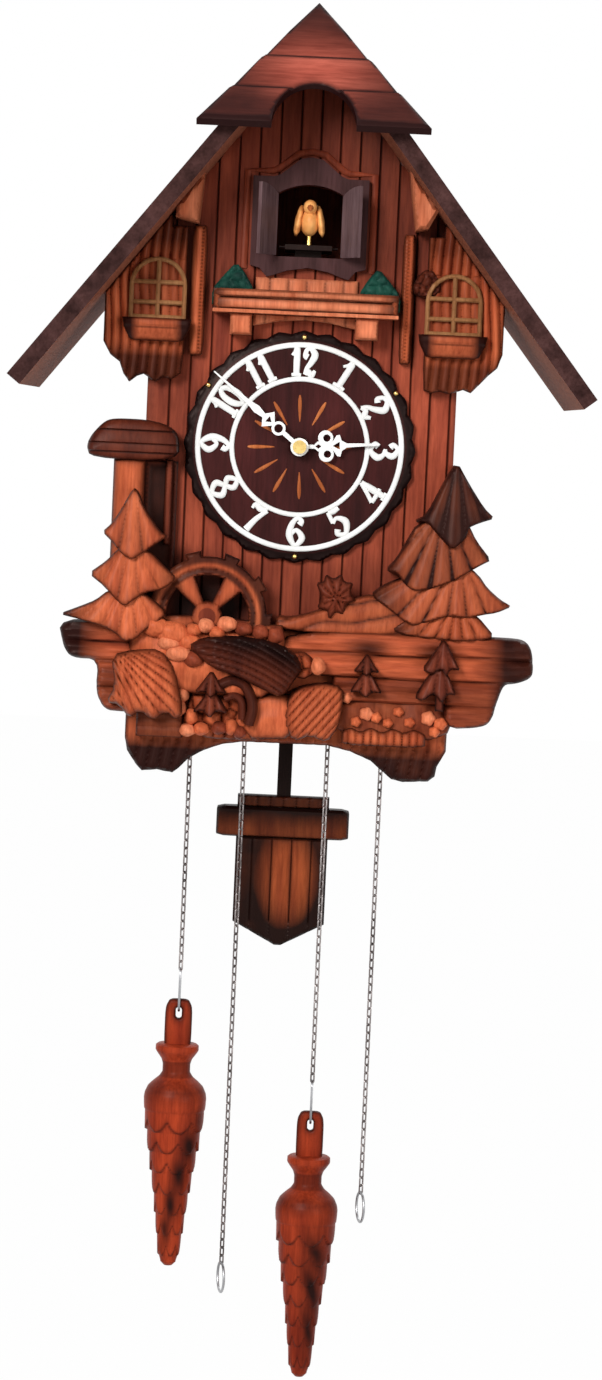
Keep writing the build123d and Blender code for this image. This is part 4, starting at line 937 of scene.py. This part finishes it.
BEAM_OUT = 142.0
PLINTH_OUT = 128.0
plinth = [
    (-97, -109), (-97, -178.5), (-95.4, -186), (-90, -194), (-86, -198), (-77, -197), (-67.7, -198.5),
    (-63.8, -195.4), (-57.7, -189), (-49, -184), (-38.5, -180), (-26, -178), (24.6, -178), (38.5, -181),
    (51, -186), (57, -191), (64, -196.6), (71, -198), (86, -197), (90, -194), (91, -188), (96, -178.5),
    (96.6, -109),
]


def feet(x, z, d):
    """Fringe of soft flutes, charred low down."""
    rise, dark = ridges(x / 7.5 + 0.3 * np.sin(z / 12), 2.4, 0.8, 0.4)
    low = unit((-164 - z) / 14)
    return rise * low, np.maximum(dark * low, np.clip((-170 - z) / 15, 0, 0.95))


solid("plinth_carving", [carve(plinth, CASE_DEPTH, PLINTH_OUT, "carved", feet, 3.0, 1.6)], "plinth_board")

tower_roof = [
    (-126.5, -4.6), (-123, 3), (-115.4, 10.8), (-109, 12.3), (-92.3, 12.3), (-80, 10), (-72.3, 4.6),
    (-71.5, -12), (-123.8, -12),
]


def tower_post(x, z, d):
    """Round log, standing."""
    u = (x + 100.5) / 9.5
    rise, dark = ridges(x / 4.0, 0.6, 0.8, 0.4)
    return rise - 6 * u**2, np.maximum(dark, 0.6 * np.abs(u) ** 3)


def hollow(x, z, d):
    """Niche beside the tower, painted dark as shade."""
    return -1.5 * unit(d / 4), 0.85 * unit(d / 3)


tower_thatch = both(courses((6, -2, -7), 2.2), dome(3, 5), charred(0.6))
tower = [
    carve(rounded(tower_roof, 2), CASE_DEPTH, 150, "brown", tower_thatch, 3.5, 1.0),
    carve(box(-110, -91, -108, -12), CASE_DEPTH, BEAM_OUT, "carved", tower_post, 1.5, 1.6),
    # painted shade: the dark niche board beside the tower
    carve(box(-91.5, -72, -80, -12), CASE_DEPTH, 126, "brown", hollow, 1.0, 1.6),
    carve(rounded(box(-79.5, -74.5, -62, -11), 2, 0.1), CASE_DEPTH, 131, "brown", None, 2.0, 1.2),
]
solid("mill_tower_carving", tower, "mill_tower")

LEFT_TIERS = [
    [(-97, -28), (-93.8, -31), (-90, -40), (-80, -54), (-75.4, -56), (-82, -61), (-89, -66), (-96, -71),
     (-103, -67), (-107.7, -61), (-114.3, -55), (-109, -50), (-104, -42)],
    [(-97, -60), (-85, -66), (-77, -74), (-69, -81), (-77, -87.7), (-87.7, -90), (-93, -94), (-99, -98.5),
     (-104, -95.5), (-111, -88), (-121.5, -80), (-111, -72), (-105, -65)],
    [(-97, -86), (-84, -93), (-74, -101.5), (-80, -108), (-86, -111.5), (-92, -118), (-98.5, -119.5),
     (-105, -114), (-112, -111), (-126, -107.5), (-138, -105), (-126, -100), (-117, -96), (-110, -90)],
]
RIGHT_TIERS = [
    [(94, -4.6), (101.5, -17), (111, -31), (117.7, -37), (107.7, -40.5), (102.6, -43), (101, -50),
     (93, -57), (84, -48), (77.7, -41), (70, -41), (77.7, -37), (87.7, -15.4)],
    [(88, -36), (102.6, -41.5), (107.7, -51), (117, -62), (111, -65), (103, -70), (95.4, -75), (87.7, -78),
     (80, -81), (71.5, -82), (66, -78.5), (61.5, -72), (54.6, -71), (61.5, -63), (67, -52), (72, -43)],
    [(98, -62), (110, -71), (115.4, -78.5), (124.6, -86), (130.5, -89), (121.5, -93), (111.5, -95),
     (104, -97), (94, -96), (84, -99), (73, -103), (66, -100), (58, -94), (46, -86), (54, -80), (62, -76),
     (72, -73), (86, -70)],
    [(98, -88), (111, -96), (121.5, -107.5), (112, -110), (98, -111), (84, -110), (70, -109), (58, -106),
     (72, -97), (86, -92)],
]


def conifer(tiers, back, front, drop, kind, flutes, char):
    """Blocks of a tree, each tier tucked under the one above it and scorched as char says."""
    blocks = []
    for count, points in enumerate(tiers):
        apex = max(points, key=lambda p: p[1])
        base = min(z for _, z in points)
        reach = max(26.0, 0.8 * max(abs(x - apex[0]) for x, _ in points))
        form = skirt(apex, base, flutes, reach, char[count])
        blocks.append(carve(rounded(points, 1, 0.2), back, front - drop * count, kind, form, 2.0, 1.1))
    return blocks


pines = conifer(LEFT_TIERS, BEAM_OUT, 160.0, 1.2, "carved", 7, (0.22, 0.06, 0.0))
pines += conifer(RIGHT_TIERS, CASE_DEPTH, 152.0, 1.4, "carved", 8, (0.88, 0.56, 0.32, 0.2))
solid("pine_trees", pines, "tall_pines")

hill_line = [
    (-9.5, -110), (-9.5, -101), (0, -101.5), (11, -98.5), (31, -91), (40, -87.7), (46, -86), (60, -88),
    (78, -90), (88, -96), (92, -110),
]


def hill_face(x, z, d):
    """Waves that follow the crest, with painted shade laid over the whole hill."""
    crest_z = np.interp(x, *zip(*hill_line[1:]))
    rise, dark = ridges((crest_z - z) / 11 + 0.35 * np.sin(x / 9), 1.4, 0.9, 0.5)
    # painted shade over the whole hill
    return rise - 0.12 * np.clip(z + 104, 0, 20), dark + 0.4


hill = carve(rounded(hill_line, 1), CASE_DEPTH, 141, "carved", hill_face, 2.5, 1.2, scorch_and_shade=0.8)
solid("hill_carving", [hill], "hills")

beam_left = [
    (-139, -108), (-135.4, -124.6), (-130, -131.5), (-114, -131.5), (-115, -151), (-109, -161.5),
    (-99, -162), (-91, -162), (-91, -108),
]
beam_right = [
    (-8, -108), (-8, -136), (93, -136), (93, -164), (117, -162), (122, -157), (124.6, -146), (128, -136),
    (135.4, -135), (143, -132), (145.4, -128), (144, -115), (140, -109), (128, -108),
]


@maker
def log_face(x, z, d, *splits):
    """Logs lying one on another, parted at the given heights, charred at the ends, with painted shadow behind
    the firs.
    """
    gap = np.min([np.abs(z - at - 0.6 * np.sin(x / 14)) for at in splits], axis=0)
    rise = -3.0 * near(gap, 1.6) + 0.5 * np.sin(z * 1.3 + np.sin(x / 9))
    char = np.maximum(0.95 * unit((np.abs(x) - 104) / 24), 0.55 * unit((-132 - z) / 5))
    # painted shadow of each fir on the logs
    for fir, deep in ((46, -118), (88, -119)):
        char = np.maximum(char, 0.9 * np.exp(-(((x - fir) / 15) ** 2) - ((z - deep) / 7) ** 2))
    return rise, np.maximum(0.95 * near(gap, 1.3), char)


logs = []
for points, proud, splits in ((beam_left, 2, (-120, -131.5, -147)), (beam_right, 1, (-121.5, -136, -150))):
    form = log_face(*splits)
    logs.append(carve(rounded(points, 2), PLINTH_OUT, BEAM_OUT + proud, "carved_x", form, 4.0, 1.4))
solid("log_beam_carvings", logs, "log_beams")

cottage_roof = [
    (-106, -128), (-92, -124), (-77, -123), (-68, -134), (-61.5, -160), (-66, -165), (-72, -160),
    (-80, -166), (-87, -160), (-94, -165), (-100, -157), (-108, -156), (-103, -146),
]
mill_roof = [
    (-62, -120), (-52, -115), (-34, -113), (-12, -115), (2, -121), (8, -130), (4, -137), (-4, -149),
    (-16, -144), (-29, -138), (-46, -133),
]


@maker
def combed(x, z, d, slope, pitch, height, sway=0.0):
    """Straw combed along lines that fall by slope for each unit to the right."""
    return ridges((z + slope * x + sway * (x + 40) ** 2) / pitch, height, 0.75, 0.7)


def mill_char(x, z, d):
    """Scorch of the mill's roof, deeper along the ridge."""
    return 0 * x, 0.6 + 0.35 * unit((z + 130 + 0.28 * (x + 30)) / 14)


def log_wall(x, z, d):
    return ridges(z / 5.0, 0.8, 0.6, 0.6)


cottage_thatch = both(fan((-116, -112), 16, 2.4, 90), dome(6, 7))
mill_thatch = both(combed(0.2, 4.2, 2.4, 0.006), mill_char, dome(6, 6))
thatch = [
    carve(rounded(cottage_roof, 1), BEAM_OUT, 162, "carved", cottage_thatch, 4.0, 1.0),
    carve(rounded(mill_roof, 1), BEAM_OUT, 164, "brown", mill_thatch, 4.0, 1.0),
    carve(box(-90, -62, -176, -146), PLINTH_OUT, BEAM_OUT, "carved", both(log_wall, charred(0.72)), 1.5, 1.0),
]
solid("thatched_roofs", thatch, "thatched_cottages")

FIR_TIERS = [
    [(91, -109), (97, -120), (101.5, -128), (96, -127), (93, -132), (90, -127), (85, -131), (78.5, -128.5),
     (85, -119)],
    [(90, -124), (95, -132), (100, -143), (95, -142), (91, -148), (86, -142), (80, -147), (74.6, -145.4),
     (83, -131)],
]
MIDDLE_FIR_TIERS = [
    [(46, -120), (50, -127), (53.8, -131.5), (49, -131), (46, -134), (42, -131), (37.7, -131.5),
     (42, -126)],
    [(46, -129), (51, -136), (56, -144), (50, -143), (46, -147), (41, -143), (36, -144), (41, -136)],
]
LOW_FIR_TIERS = [
    [(-46, -134), (-41, -142), (-36, -148), (-42, -147), (-46, -151), (-50, -147), (-56, -148),
     (-51, -141)],
    [(-46, -144), (-40, -152), (-35, -160), (-42, -158), (-46, -163), (-51, -158), (-57, -160),
     (-51, -152)],
]
firs = conifer(FIR_TIERS, BEAM_OUT, 156.0, 1.0, "brown", 7, (0.1, 0.25))
firs.append(carve(box(87.5, 92.5, -153, -140), BEAM_OUT, 149, "brown", None, 1.5, 1.2))
firs += conifer(MIDDLE_FIR_TIERS, BEAM_OUT, 154.0, 1.0, "brown", 7, (0.5, 0.3))
firs += conifer(LOW_FIR_TIERS, 141.2, 157.0, 1.0, "brown", 7, (0.5, 0.3))
solid("fir_trees", firs, "small_firs")

leaf = [
    (16, -86), (13.5, -80), (18, -79.5), (19, -74.5), (24, -77.5), (28.5, -74), (30.5, -79), (36, -79),
    (34, -85), (37.5, -89.5), (32, -92), (31, -98.5), (26, -97), (22.5, -102), (20, -96), (14.5, -95),
    (17, -90),
]
fan_points = [
    (0, -146), (8, -142), (20, -139.5), (32, -141), (33, -152), (31, -165), (24, -175), (14, -171),
    (4, -175), (-2, -164),
]
meadow = [(28, -147), (98, -147), (98, -166), (90, -170), (84, -172), (28, -172)]
slope = [(-24, -151), (-8, -147), (8, -149), (6, -174), (-28, -175)]
palisade = [
    (33, -176), (33, -168), (38, -165.5), (44, -168), (50, -165), (57, -168), (63, -165), (70, -167.5),
    (76, -165), (83, -168), (83, -176),
]
bough = both(combed(-1.2, 6.2, 2.4), dome(5, 6), charred(0.22))
grass = both(lumps(1.0, 6), dome(3, 6), charred(0.6))
veins = both(fan((26, -89), 11, 2.2, 360), dome(4, 6), charred(0.3))
green = [
    carve(rounded(fan_points, 1), PLINTH_OUT, 152, "carved", bough, 3.0, 0.6),
    carve(box(26, 100, -151, -135), PLINTH_OUT, 140, "carved_x", log_face(-143, -150), 3.0, 1.3),
    carve(rounded(meadow, 1), PLINTH_OUT, 138, "carved", grass, 3.0, 1.2),
    carve(rounded(slope, 1), PLINTH_OUT, 146, "carved", both(lumps(0.8, 7), dome(4, 7)), 3.0, 1.2),
    carve(rounded(palisade, 1, 0.15), PLINTH_OUT, 141, "carved", staves(4.6, 2.8), 2.0, 0.9),
    carve(rounded(leaf, 1), 138, 147, "brown", veins, 2.5, 0.9),
]


def petals(u, v, w):
    """Five lobes about the way out."""
    return 0.94 + 0.08 * math.cos(5 * math.atan2(w, u)) + 0.05 * v


def weathered(u, v, w):
    """Uneven stone."""
    return 1 + 0.06 * math.sin(3 * u + 4 * w + 2 * v)


def strewn(kind, out, deep, form, spots):
    """Carved flowers or stones as (x, z, half width, half height)."""
    return [blob((x, out, z), (half_w, deep, half_h), kind, form) for x, z, half_w, half_h in spots]


green += strewn("light", 138, 4.0, petals, [(35, -148, 3.4, 3.4), (47, -157, 4.4, 4.2), (84, -158, 4.6, 4.6)])
green += strewn("carved", 138, 4.0, petals, [
    (53, -159, 3.4, 3.4), (66, -155, 3.4, 3.0), (73, -161, 3.6, 3.2), (91.5, -161, 4.4, 4.0),
    (88, -166, 3.6, 3.4), (41, -162, 3.4, 3.2), (60, -162, 3.2, 3.0),
])
solid("meadow_carvings", green, "undergrowth")

rocks_left = [
    (-60, -150), (-52, -145), (-40, -144), (-30, -147), (-24, -153), (-12, -150), (-4, -156), (-4, -176),
    (-60, -176),
]
stones = [(1, -122), (8, -121), (14, -125), (15, -134), (8, -138), (0, -135)]
bank = [
    (-96, -113), (-88, -106), (-80, -104), (-70, -107), (-60, -110), (-50, -111), (-38, -110), (-26, -110),
    (-14, -106), (-3, -106), (-3, -150), (-62, -150), (-96, -140),
]
rubble = cells(scatter(-64, 0, -182, -140, 9), 4.0)
cobbles = cells(scatter(-2, 18, -142, -118, 7), 4.0)
rocks = [
    carve(rounded(rocks_left, 1), PLINTH_OUT, 141, "carved", rubble, 4.0, 1.0),
    carve(rounded(stones, 1), BEAM_OUT, 150, "carved", cobbles, 3.0, 0.9),
    carve(rounded(bank, 1), BEAM_OUT, 149, "carved", both(lumps(1.0, 6), dome(4, 6)), 3.0, 1.2),
]
for kind, by_mill, below in (
    (
        "carved",
        [(-80, -110, 8, 6), (-70, -113, 10, 7), (-60, -118, 7, 5), (-58, -111, 4.6, 4), (-44, -112, 4.6, 4)],
        [(-57, -163, 4, 5), (-51, -170, 5, 4), (-33, -168, 4, 5)],
    ),
    (
        "light",
        [(-50.5, -108, 5, 4.4), (-38, -106.5, 6.2, 4.6), (-66, -125, 8, 5), (-72, -119, 7, 4.5),
         (17, -129, 4.4, 5.4)],
        [(-63, -150, 4, 5), (-64, -158, 3.6, 5), (-59, -171, 5, 4)],
    ),
    (
        "brown",
        [(-28, -109, 5.4, 4.2), (-18, -110.5, 5.2, 4.6), (-9, -112, 5, 5.4), (-57, -128, 6, 5)],
        [(-40, -169, 5, 4), (-28, -171, 4, 4)],
    ),
):
    rocks += strewn(kind, 149, 6.0, weathered, by_mill) + strewn(kind, 142, 6.0, weathered, below)
for path, out, r, dark in (
    ([(-41, -143), (-34, -140), (-27, -142), (-22.5, -149), (-21, -157), (-23, -166)], 147, 3.2, 0.75),
    ([(-38, -151), (-32, -149), (-27.5, -153), (-26.5, -163)], 145, 2.6, 0.6),
):
    rocks.append(tube([(x, out, z) for x, z in curve(path)], r, "brown", sides=12, deep=1.6, dark=dark))
solid("boulder_carvings", rocks, "boulders")

# Water wheel

WHEEL_OUT = (130, 140)
RIM = (24.5, 35.5)
PADDLE_R = 39.0
PADDLES = 10
SPOKES = 5
HUB_R = 9.0
BORE_R = 2.54


def on_wheel(r, turn):
    return WHEEL_AT[0] + r * math.cos(turn), WHEEL_AT[1] + r * math.sin(turn)


def wheel_outline():
    """Rim with its paddles."""
    step = 2 * math.pi / PADDLES
    root, half = math.atan2(4.2, RIM[1]), math.atan2(5, PADDLE_R)
    spots = [(RIM[1], -root), (PADDLE_R, -half), (PADDLE_R, half), (RIM[1], root)]
    spots += [(RIM[1], root + share * (step - 2 * root)) for share in (0.33, 0.67)]
    middles = [math.radians(105) + step * count for count in range(PADDLES)]
    return [on_wheel(r, middle + a) for middle in middles for r, a in spots]


def wheel_void(count):
    """Opening between two spokes."""
    step = 2 * math.pi / SPOKES
    start = math.radians(53) + step * count
    outer_cut, inner_cut = math.asin(6.4 / RIM[0]), math.asin(2.8 / HUB_R)
    outer = np.linspace(outer_cut, step - outer_cut, 12)
    inner = np.linspace(step - inner_cut, inner_cut, 6)
    return [on_wheel(RIM[0], start + a) for a in outer] + [on_wheel(HUB_R, start + a) for a in inner]


def wheel_face(x, z, d):
    """Rim charred but for a light ring, with a groove, and a raised hub."""
    r = np.hypot(x - WHEEL_AT[0], z - WHEEL_AT[1])
    char = 0.85 * unit((r - 24) / 2) - 0.6 * np.exp(-(((r - 30.5) / 1.4) ** 2))
    groove = r - 28.5
    return np.where(r < HUB_R, 1.2, 0) - 1.2 * near(groove, 0.8), np.maximum(0.9 * near(groove, 1), char)


voids = [wheel_void(n) for n in range(SPOKES)] + [circle(*WHEEL_AT, BORE_R, 20)]
wheel = carve(wheel_outline(), *WHEEL_OUT, "carved", wheel_face, 1.2, 1.2, voids)
solid("mill_wheel_carving", [wheel], "water_wheel", "mill_wheel")

# Pendulum bob and its bars

BOB_OUT = (32, 44)
BOB_HALF_W = 28.5
BOB_GROOVES = (-18.2, -6.0, 6.4, 18.6)
NICK_PITCH = 8.0


def bob_face(x, z, d):
    """Upright grooves, darker away from the middle."""
    gap = np.min([np.abs(x - at) for at in BOB_GROOVES], axis=0)
    char = 1.7 * np.clip(np.hypot((x - 4) / 22, (z + 268) / 36) - 0.4, 0, 0.55)
    return -1.2 * near(gap, 0.7), np.maximum(0.95 * near(gap, 0.8), char)


def cap_face(x, z, d):
    """Light nicks along the top bar."""
    turns = x / NICK_PITCH
    nick = (turns - np.round(turns)) * NICK_PITCH
    return -1.0 * near(nick, 0.9), np.maximum(0.9 * near(nick, 1), 0.75)


def top_char(x, z, d):
    """Darker along the upper edge of the crossbar."""
    return 0 * x, 0.6 + 0.35 * unit((z + 238) / 12)


half_bob = [(BOB_HALF_W, -243.5), (BOB_HALF_W, -296.5), (2, -310.5)]
bob_points = [(-BOB_HALF_W, -243.5)] + half_bob + mirrored(half_bob)[:-1]
groove_lines = [
    [(at + dx, z) for z in np.linspace(-295, -245, 30)] for at in BOB_GROOVES for dx in (-0.8, 0, 0.8)
]
cap = box(-BOB_HALF_W, BOB_HALF_W, -224.4, -217.5)
bar = rounded(box(-41.2, 41.2, -243.4, -224.6), 2, 0.06)
bob = [
    carve(bob_points, *BOB_OUT, "bob", bob_face, 1.6, 1.4, (), groove_lines, 1.0, 3.4),
    carve(cap, *BOB_OUT, "bob", cap_face, 1.6, 1.0),
    carve(bar, 31, 45, "bob", both(lumps(0.3, 8), top_char), 2.2, 1.3, (), (), 1.0, 3.0),
]
solid("pendulum_bob_carving", bob, "pendulum_bob", "pendulum")

# Chains, hooks, pull rings and pine-cone weights

CHAIN_OUT = 78.0
CHAIN_TOP = -13.4
CHAIN_SEAT = 0.9                       # how far below its end a chain's hook or ring begins
LINK_PITCH = 5.0
LINK_WIRE = 1.0
LINK_SIZE = (6.1, 2.6)                 # between the middles of the wire
LINK_TURN = math.pi / 4
HOOK_SIZE = (26.3, 7.4)
HOOK_WIRE = 1.6
RING_R = 9.2
RING_TURN = math.radians(77)
CHAINS = {
    "strike_weight": (-58.5, -322.0), "strike_ring": (-25.5, -503.5),
    "going_weight": (25.5, -388.0), "going_ring": (58.5, -456.0),
}


def wire_loop(x, z, plan, wire, turn, kind, sides):
    """Closed wire along a plan of (across, up), standing up, turned from facing the front."""
    c, s = math.cos(turn), math.sin(turn)
    path = [(x + px * c, CHAIN_OUT + px * s, z + pz) for px, pz in plan]
    return tube(path, wire / 2, kind, closed=True, across=(-s, c, 0), sides=sides)


def oval(x, z, size, wire, turn, kind="chain", count=7):
    """Long link or hook."""
    length, width = size
    r = width / 2
    straight = (length - width) / 2
    plan = [(r * math.cos(a), straight + r * math.sin(a)) for a in np.linspace(0, math.pi, count)]
    plan += [(-px, -pz) for px, pz in plan]
    return wire_loop(x, z, plan, wire, turn, kind, 6)


def links(x, end):
    """Linked wire from the chain wheel down to the given height, each link square to the next."""
    lowest = end - CHAIN_SEAT - (HOOK_WIRE + LINK_WIRE) / 2 + LINK_SIZE[0] / 2
    numbers = range(int((CHAIN_TOP - lowest) / LINK_PITCH))
    return [oval(x, lowest + n * LINK_PITCH, LINK_SIZE, LINK_WIRE, (-1) ** n * LINK_TURN) for n in numbers]


def pull_ring(x, top):
    return wire_loop(x, top - RING_R, circle(0, 0, RING_R, 40), HOOK_WIRE, RING_TURN, "steel", 10)


def hook(x, top):
    return oval(x, top - HOOK_SIZE[0] / 2, HOOK_SIZE, HOOK_WIRE, math.pi / 2, "steel", 11)


for body, (x, end) in CHAINS.items():
    last = pull_ring if body.endswith("ring") else hook
    solid(f"{body}_chain", links(x, end) + [last(x, end - CHAIN_SEAT)], f"chain_{body}", body, 60)

# Height below the top of the weight, and radius there
CONE = [
    (27.6, 12.0), (28.4, 13.2), (31.5, 13.3), (34, 11.6), (37, 9.4), (40, 8.5), (45, 8.5), (48, 10.4),
    (51, 14.0), (54, 17.0), (58, 18.8), (61, 19.25), (66, 19.0), (70, 18.5), (90, 15.5), (120, 11.0),
    (140, 8.7), (158, 6.7), (163, 5.0), (166, 2.0),
]
SCALES = (68.0, 163.0)                 # where the carved scales begin and end
SCALE_ROW = 13.0
SCALES_AROUND = 7
EAR_HALF_W = 8.3
EAR_HALF_T = 2.5
EAR_H = 33.5
EAR_OVER = 5.0                         # wood above the hole
EAR_PLAY = 0.05                        # between the hook's bend and the hole
HOLE_R = 1.9
HOLE_STRETCH = 1.6


def cone_weight(train, way, lean, spread):
    """Turned and carved pine cone with its ear and a hole for the hook, scorched along one leaning streak."""
    x, end = CHAINS[f"{train}_weight"]
    inner_r = (HOOK_SIZE[1] - HOOK_WIRE) / 2
    ear_rise = inner_r - math.sqrt(inner_r**2 - EAR_HALF_T**2)
    top = end - CHAIN_SEAT - HOOK_SIZE[0] + HOOK_WIRE / 2 + ear_rise + EAR_PLAY + EAR_OVER
    downs = np.concatenate([np.arange(27.6, 50, 0.9), np.arange(50, 166.1, 0.75)])
    turns = around(96)
    rings, dark = [], []
    for down, radius in zip(downs, np.interp(downs, *zip(*CONE))):
        row, f = divmod((down - SCALES[0]) / SCALE_ROW, 1)
        u = turns / (2 * math.pi) * SCALES_AROUND + 0.5 * (row % 2)
        side = 2 * np.abs(u - np.floor(u) - 0.5)
        foot = 1.0 - 0.55 * side**2
        reach, shade = radius + 0 * turns, 0.1
        if SCALES[0] < down < SCALES[1]:
            lift = np.where(f < foot, f / foot, 0.15) * (1 - 0.5 * side**2)
            reach = radius + lift * min(1.6, radius * 0.11) - 0.5
            shade = 0.75 * near(f - foot, 0.1)
        streak = np.exp(-(((turns - way - lean * (down - 118)) / spread) ** 2))
        streak *= unit(1.8 - abs(down - 112) / 34) * (0.78 + 0.16 * np.sin(down / 4 + 5 * turns))
        collar = 0.5 if 38 < down < 48 else 0.5 * unit(1 - abs(down - 56) / 12)
        across, out = x + reach * np.cos(turns), CHAIN_OUT + reach * np.sin(turns)
        rings.append(np.stack([across, out, np.full(len(turns), top - down)], axis=1))
        dark.append(np.maximum(np.maximum(shade, streak), collar))
    ear = rounded(box(x - EAR_HALF_W, x + EAR_HALF_W, top - EAR_H, top), 3, 0.16)
    middle = top - EAR_OVER - HOLE_STRETCH - HOLE_R
    hole = [(px, pz + math.copysign(HOLE_STRETCH, pz)) for px, pz in circle(0, 0, HOLE_R, 24)]
    hole = [(x + px, middle + pz) for px, pz in hole]
    back, front = CHAIN_OUT - EAR_HALF_T, CHAIN_OUT + EAR_HALF_T
    blocks = [skin(rings, "cone", dark), carve(ear, back, front, "cone", None, 1.6, 1.0, [hole], (), 0.85)]
    solid(f"{train}_cone", blocks, f"weight_{train}", f"{train}_weight", 50)


cone_weight("strike", 1.4, 0.018, 0.52)
cone_weight("going", 1.1, -0.003, 0.68)

# Bird

BIRD = (0.0, 121.0, 134.0)


def feathered(u, v, w):
    """Breast swells forward and the back is flatter, with shallow rows of feathers."""
    return 1 + 0.05 * v - 0.06 * max(w, 0) * (v < 0) + 0.02 * math.sin(14 * v + 3 * u)


def wing_feathers(u, v, w):
    return 1 + 0.05 * math.sin(9 * w + 5 * v)


bird = [
    blob(BIRD, (5.8, 11.5, 8.4), "bird", feathered, 18, 28),
    blob((0, 129, 142.4), (4.1, 5.6, 4.4), "bird", None, 14, 22),
    tube([(0, 133.2, 142.0), (0, 135.4, 141.4), (0, 137.6, 139.8)], [2.1, 1.6, 0.3], "ray", across=(1, 0, 0)),
    tube([(0, 111, 132), (0, 104, 130.5), (0, 99, 129.5)], [3.6, 3.9, 3], "bird", across=(0, 0, 1), deep=0.4),
    tube([(0, 121, 120), (0, 121, 123), (0, 121, 127)], [1.8, 1.6, 1.6], "brass", across=(1, 0, 0)),
]
for side in (-1, 1):
    wing = blob((side * 5.2, 122, 134.4), (2.4, 9.0, 9.2), "bird", wing_feathers, 18, 22)
    bird.append(bent(wing, lambda x, out, z: (x + side * 0.16 * (142 - z), out, z)))
    bird.append(blob((side * 3.8, 130.2, 144), (0.7, 0.7, 0.7), "black", None, 8, 10))
solid("cuckoo_bird", bird, "bird", "cuckoo", 70)

# Pieces kept from the CAD model, each with its finish

def finish_node(name, material, bevel):
    """Keep a CAD solid, with soft arrises and its own finish."""
    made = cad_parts[name]
    made.data.materials.clear()
    made.data.materials.append(MATS[material])
    if bevel:
        edge = made.modifiers.new("arris", "BEVEL")
        edge.width = bevel / 1000
        edge.segments = 2
        edge.limit_method = "ANGLE"
        edge.angle_limit = math.radians(40)


for kind, bevel, names in (
    ("panel", 0.6, ("case_sides", "case_floor")),
    ("panel", 0.5, ("back_panel",)),
    ("roof", 1.2, ("roof_boards",)),
    ("frame", 0.5, ("bird_door_frame",)),
    ("door", 0.3, ("bird_door_left", "bird_door_right")),
    ("brown", 0.4, ("wheel_axle",)),
    ("steel", 0.2, ("hanger_plate",)),
    ("steel", 0.1, ("pallet_anchor",)),
    ("steel", 0, ("gong",)),
    ("brass", 0.2, ("movement_plates", "going_chain_wheel", "strike_chain_wheel")),
    ("brass", 0, ("going_great_wheel", "centre_wheel", "minute_wheel", "hour_wheel", "escape_wheel")),
    ("brass", 0, ("strike_great_wheel", "strike_second_wheel", "strike_fly")),
    ("brass", 0.8, ("hand_nut",)),
    ("white", 0.3, ("minute_hand",)),
    ("black", 0.6, ("pendulum_rod",)),
    ("black", 0.4, ("bird_carriage",)),
    ("pipe", 0.4, ("bird_shelf", "bellows_pipes")),
    ("leather", 0.4, ("bellows_lid_left", "bellows_lid_right")),
):
    for name in names:
        finish_node(name, kind, bevel)

stage_and_light()
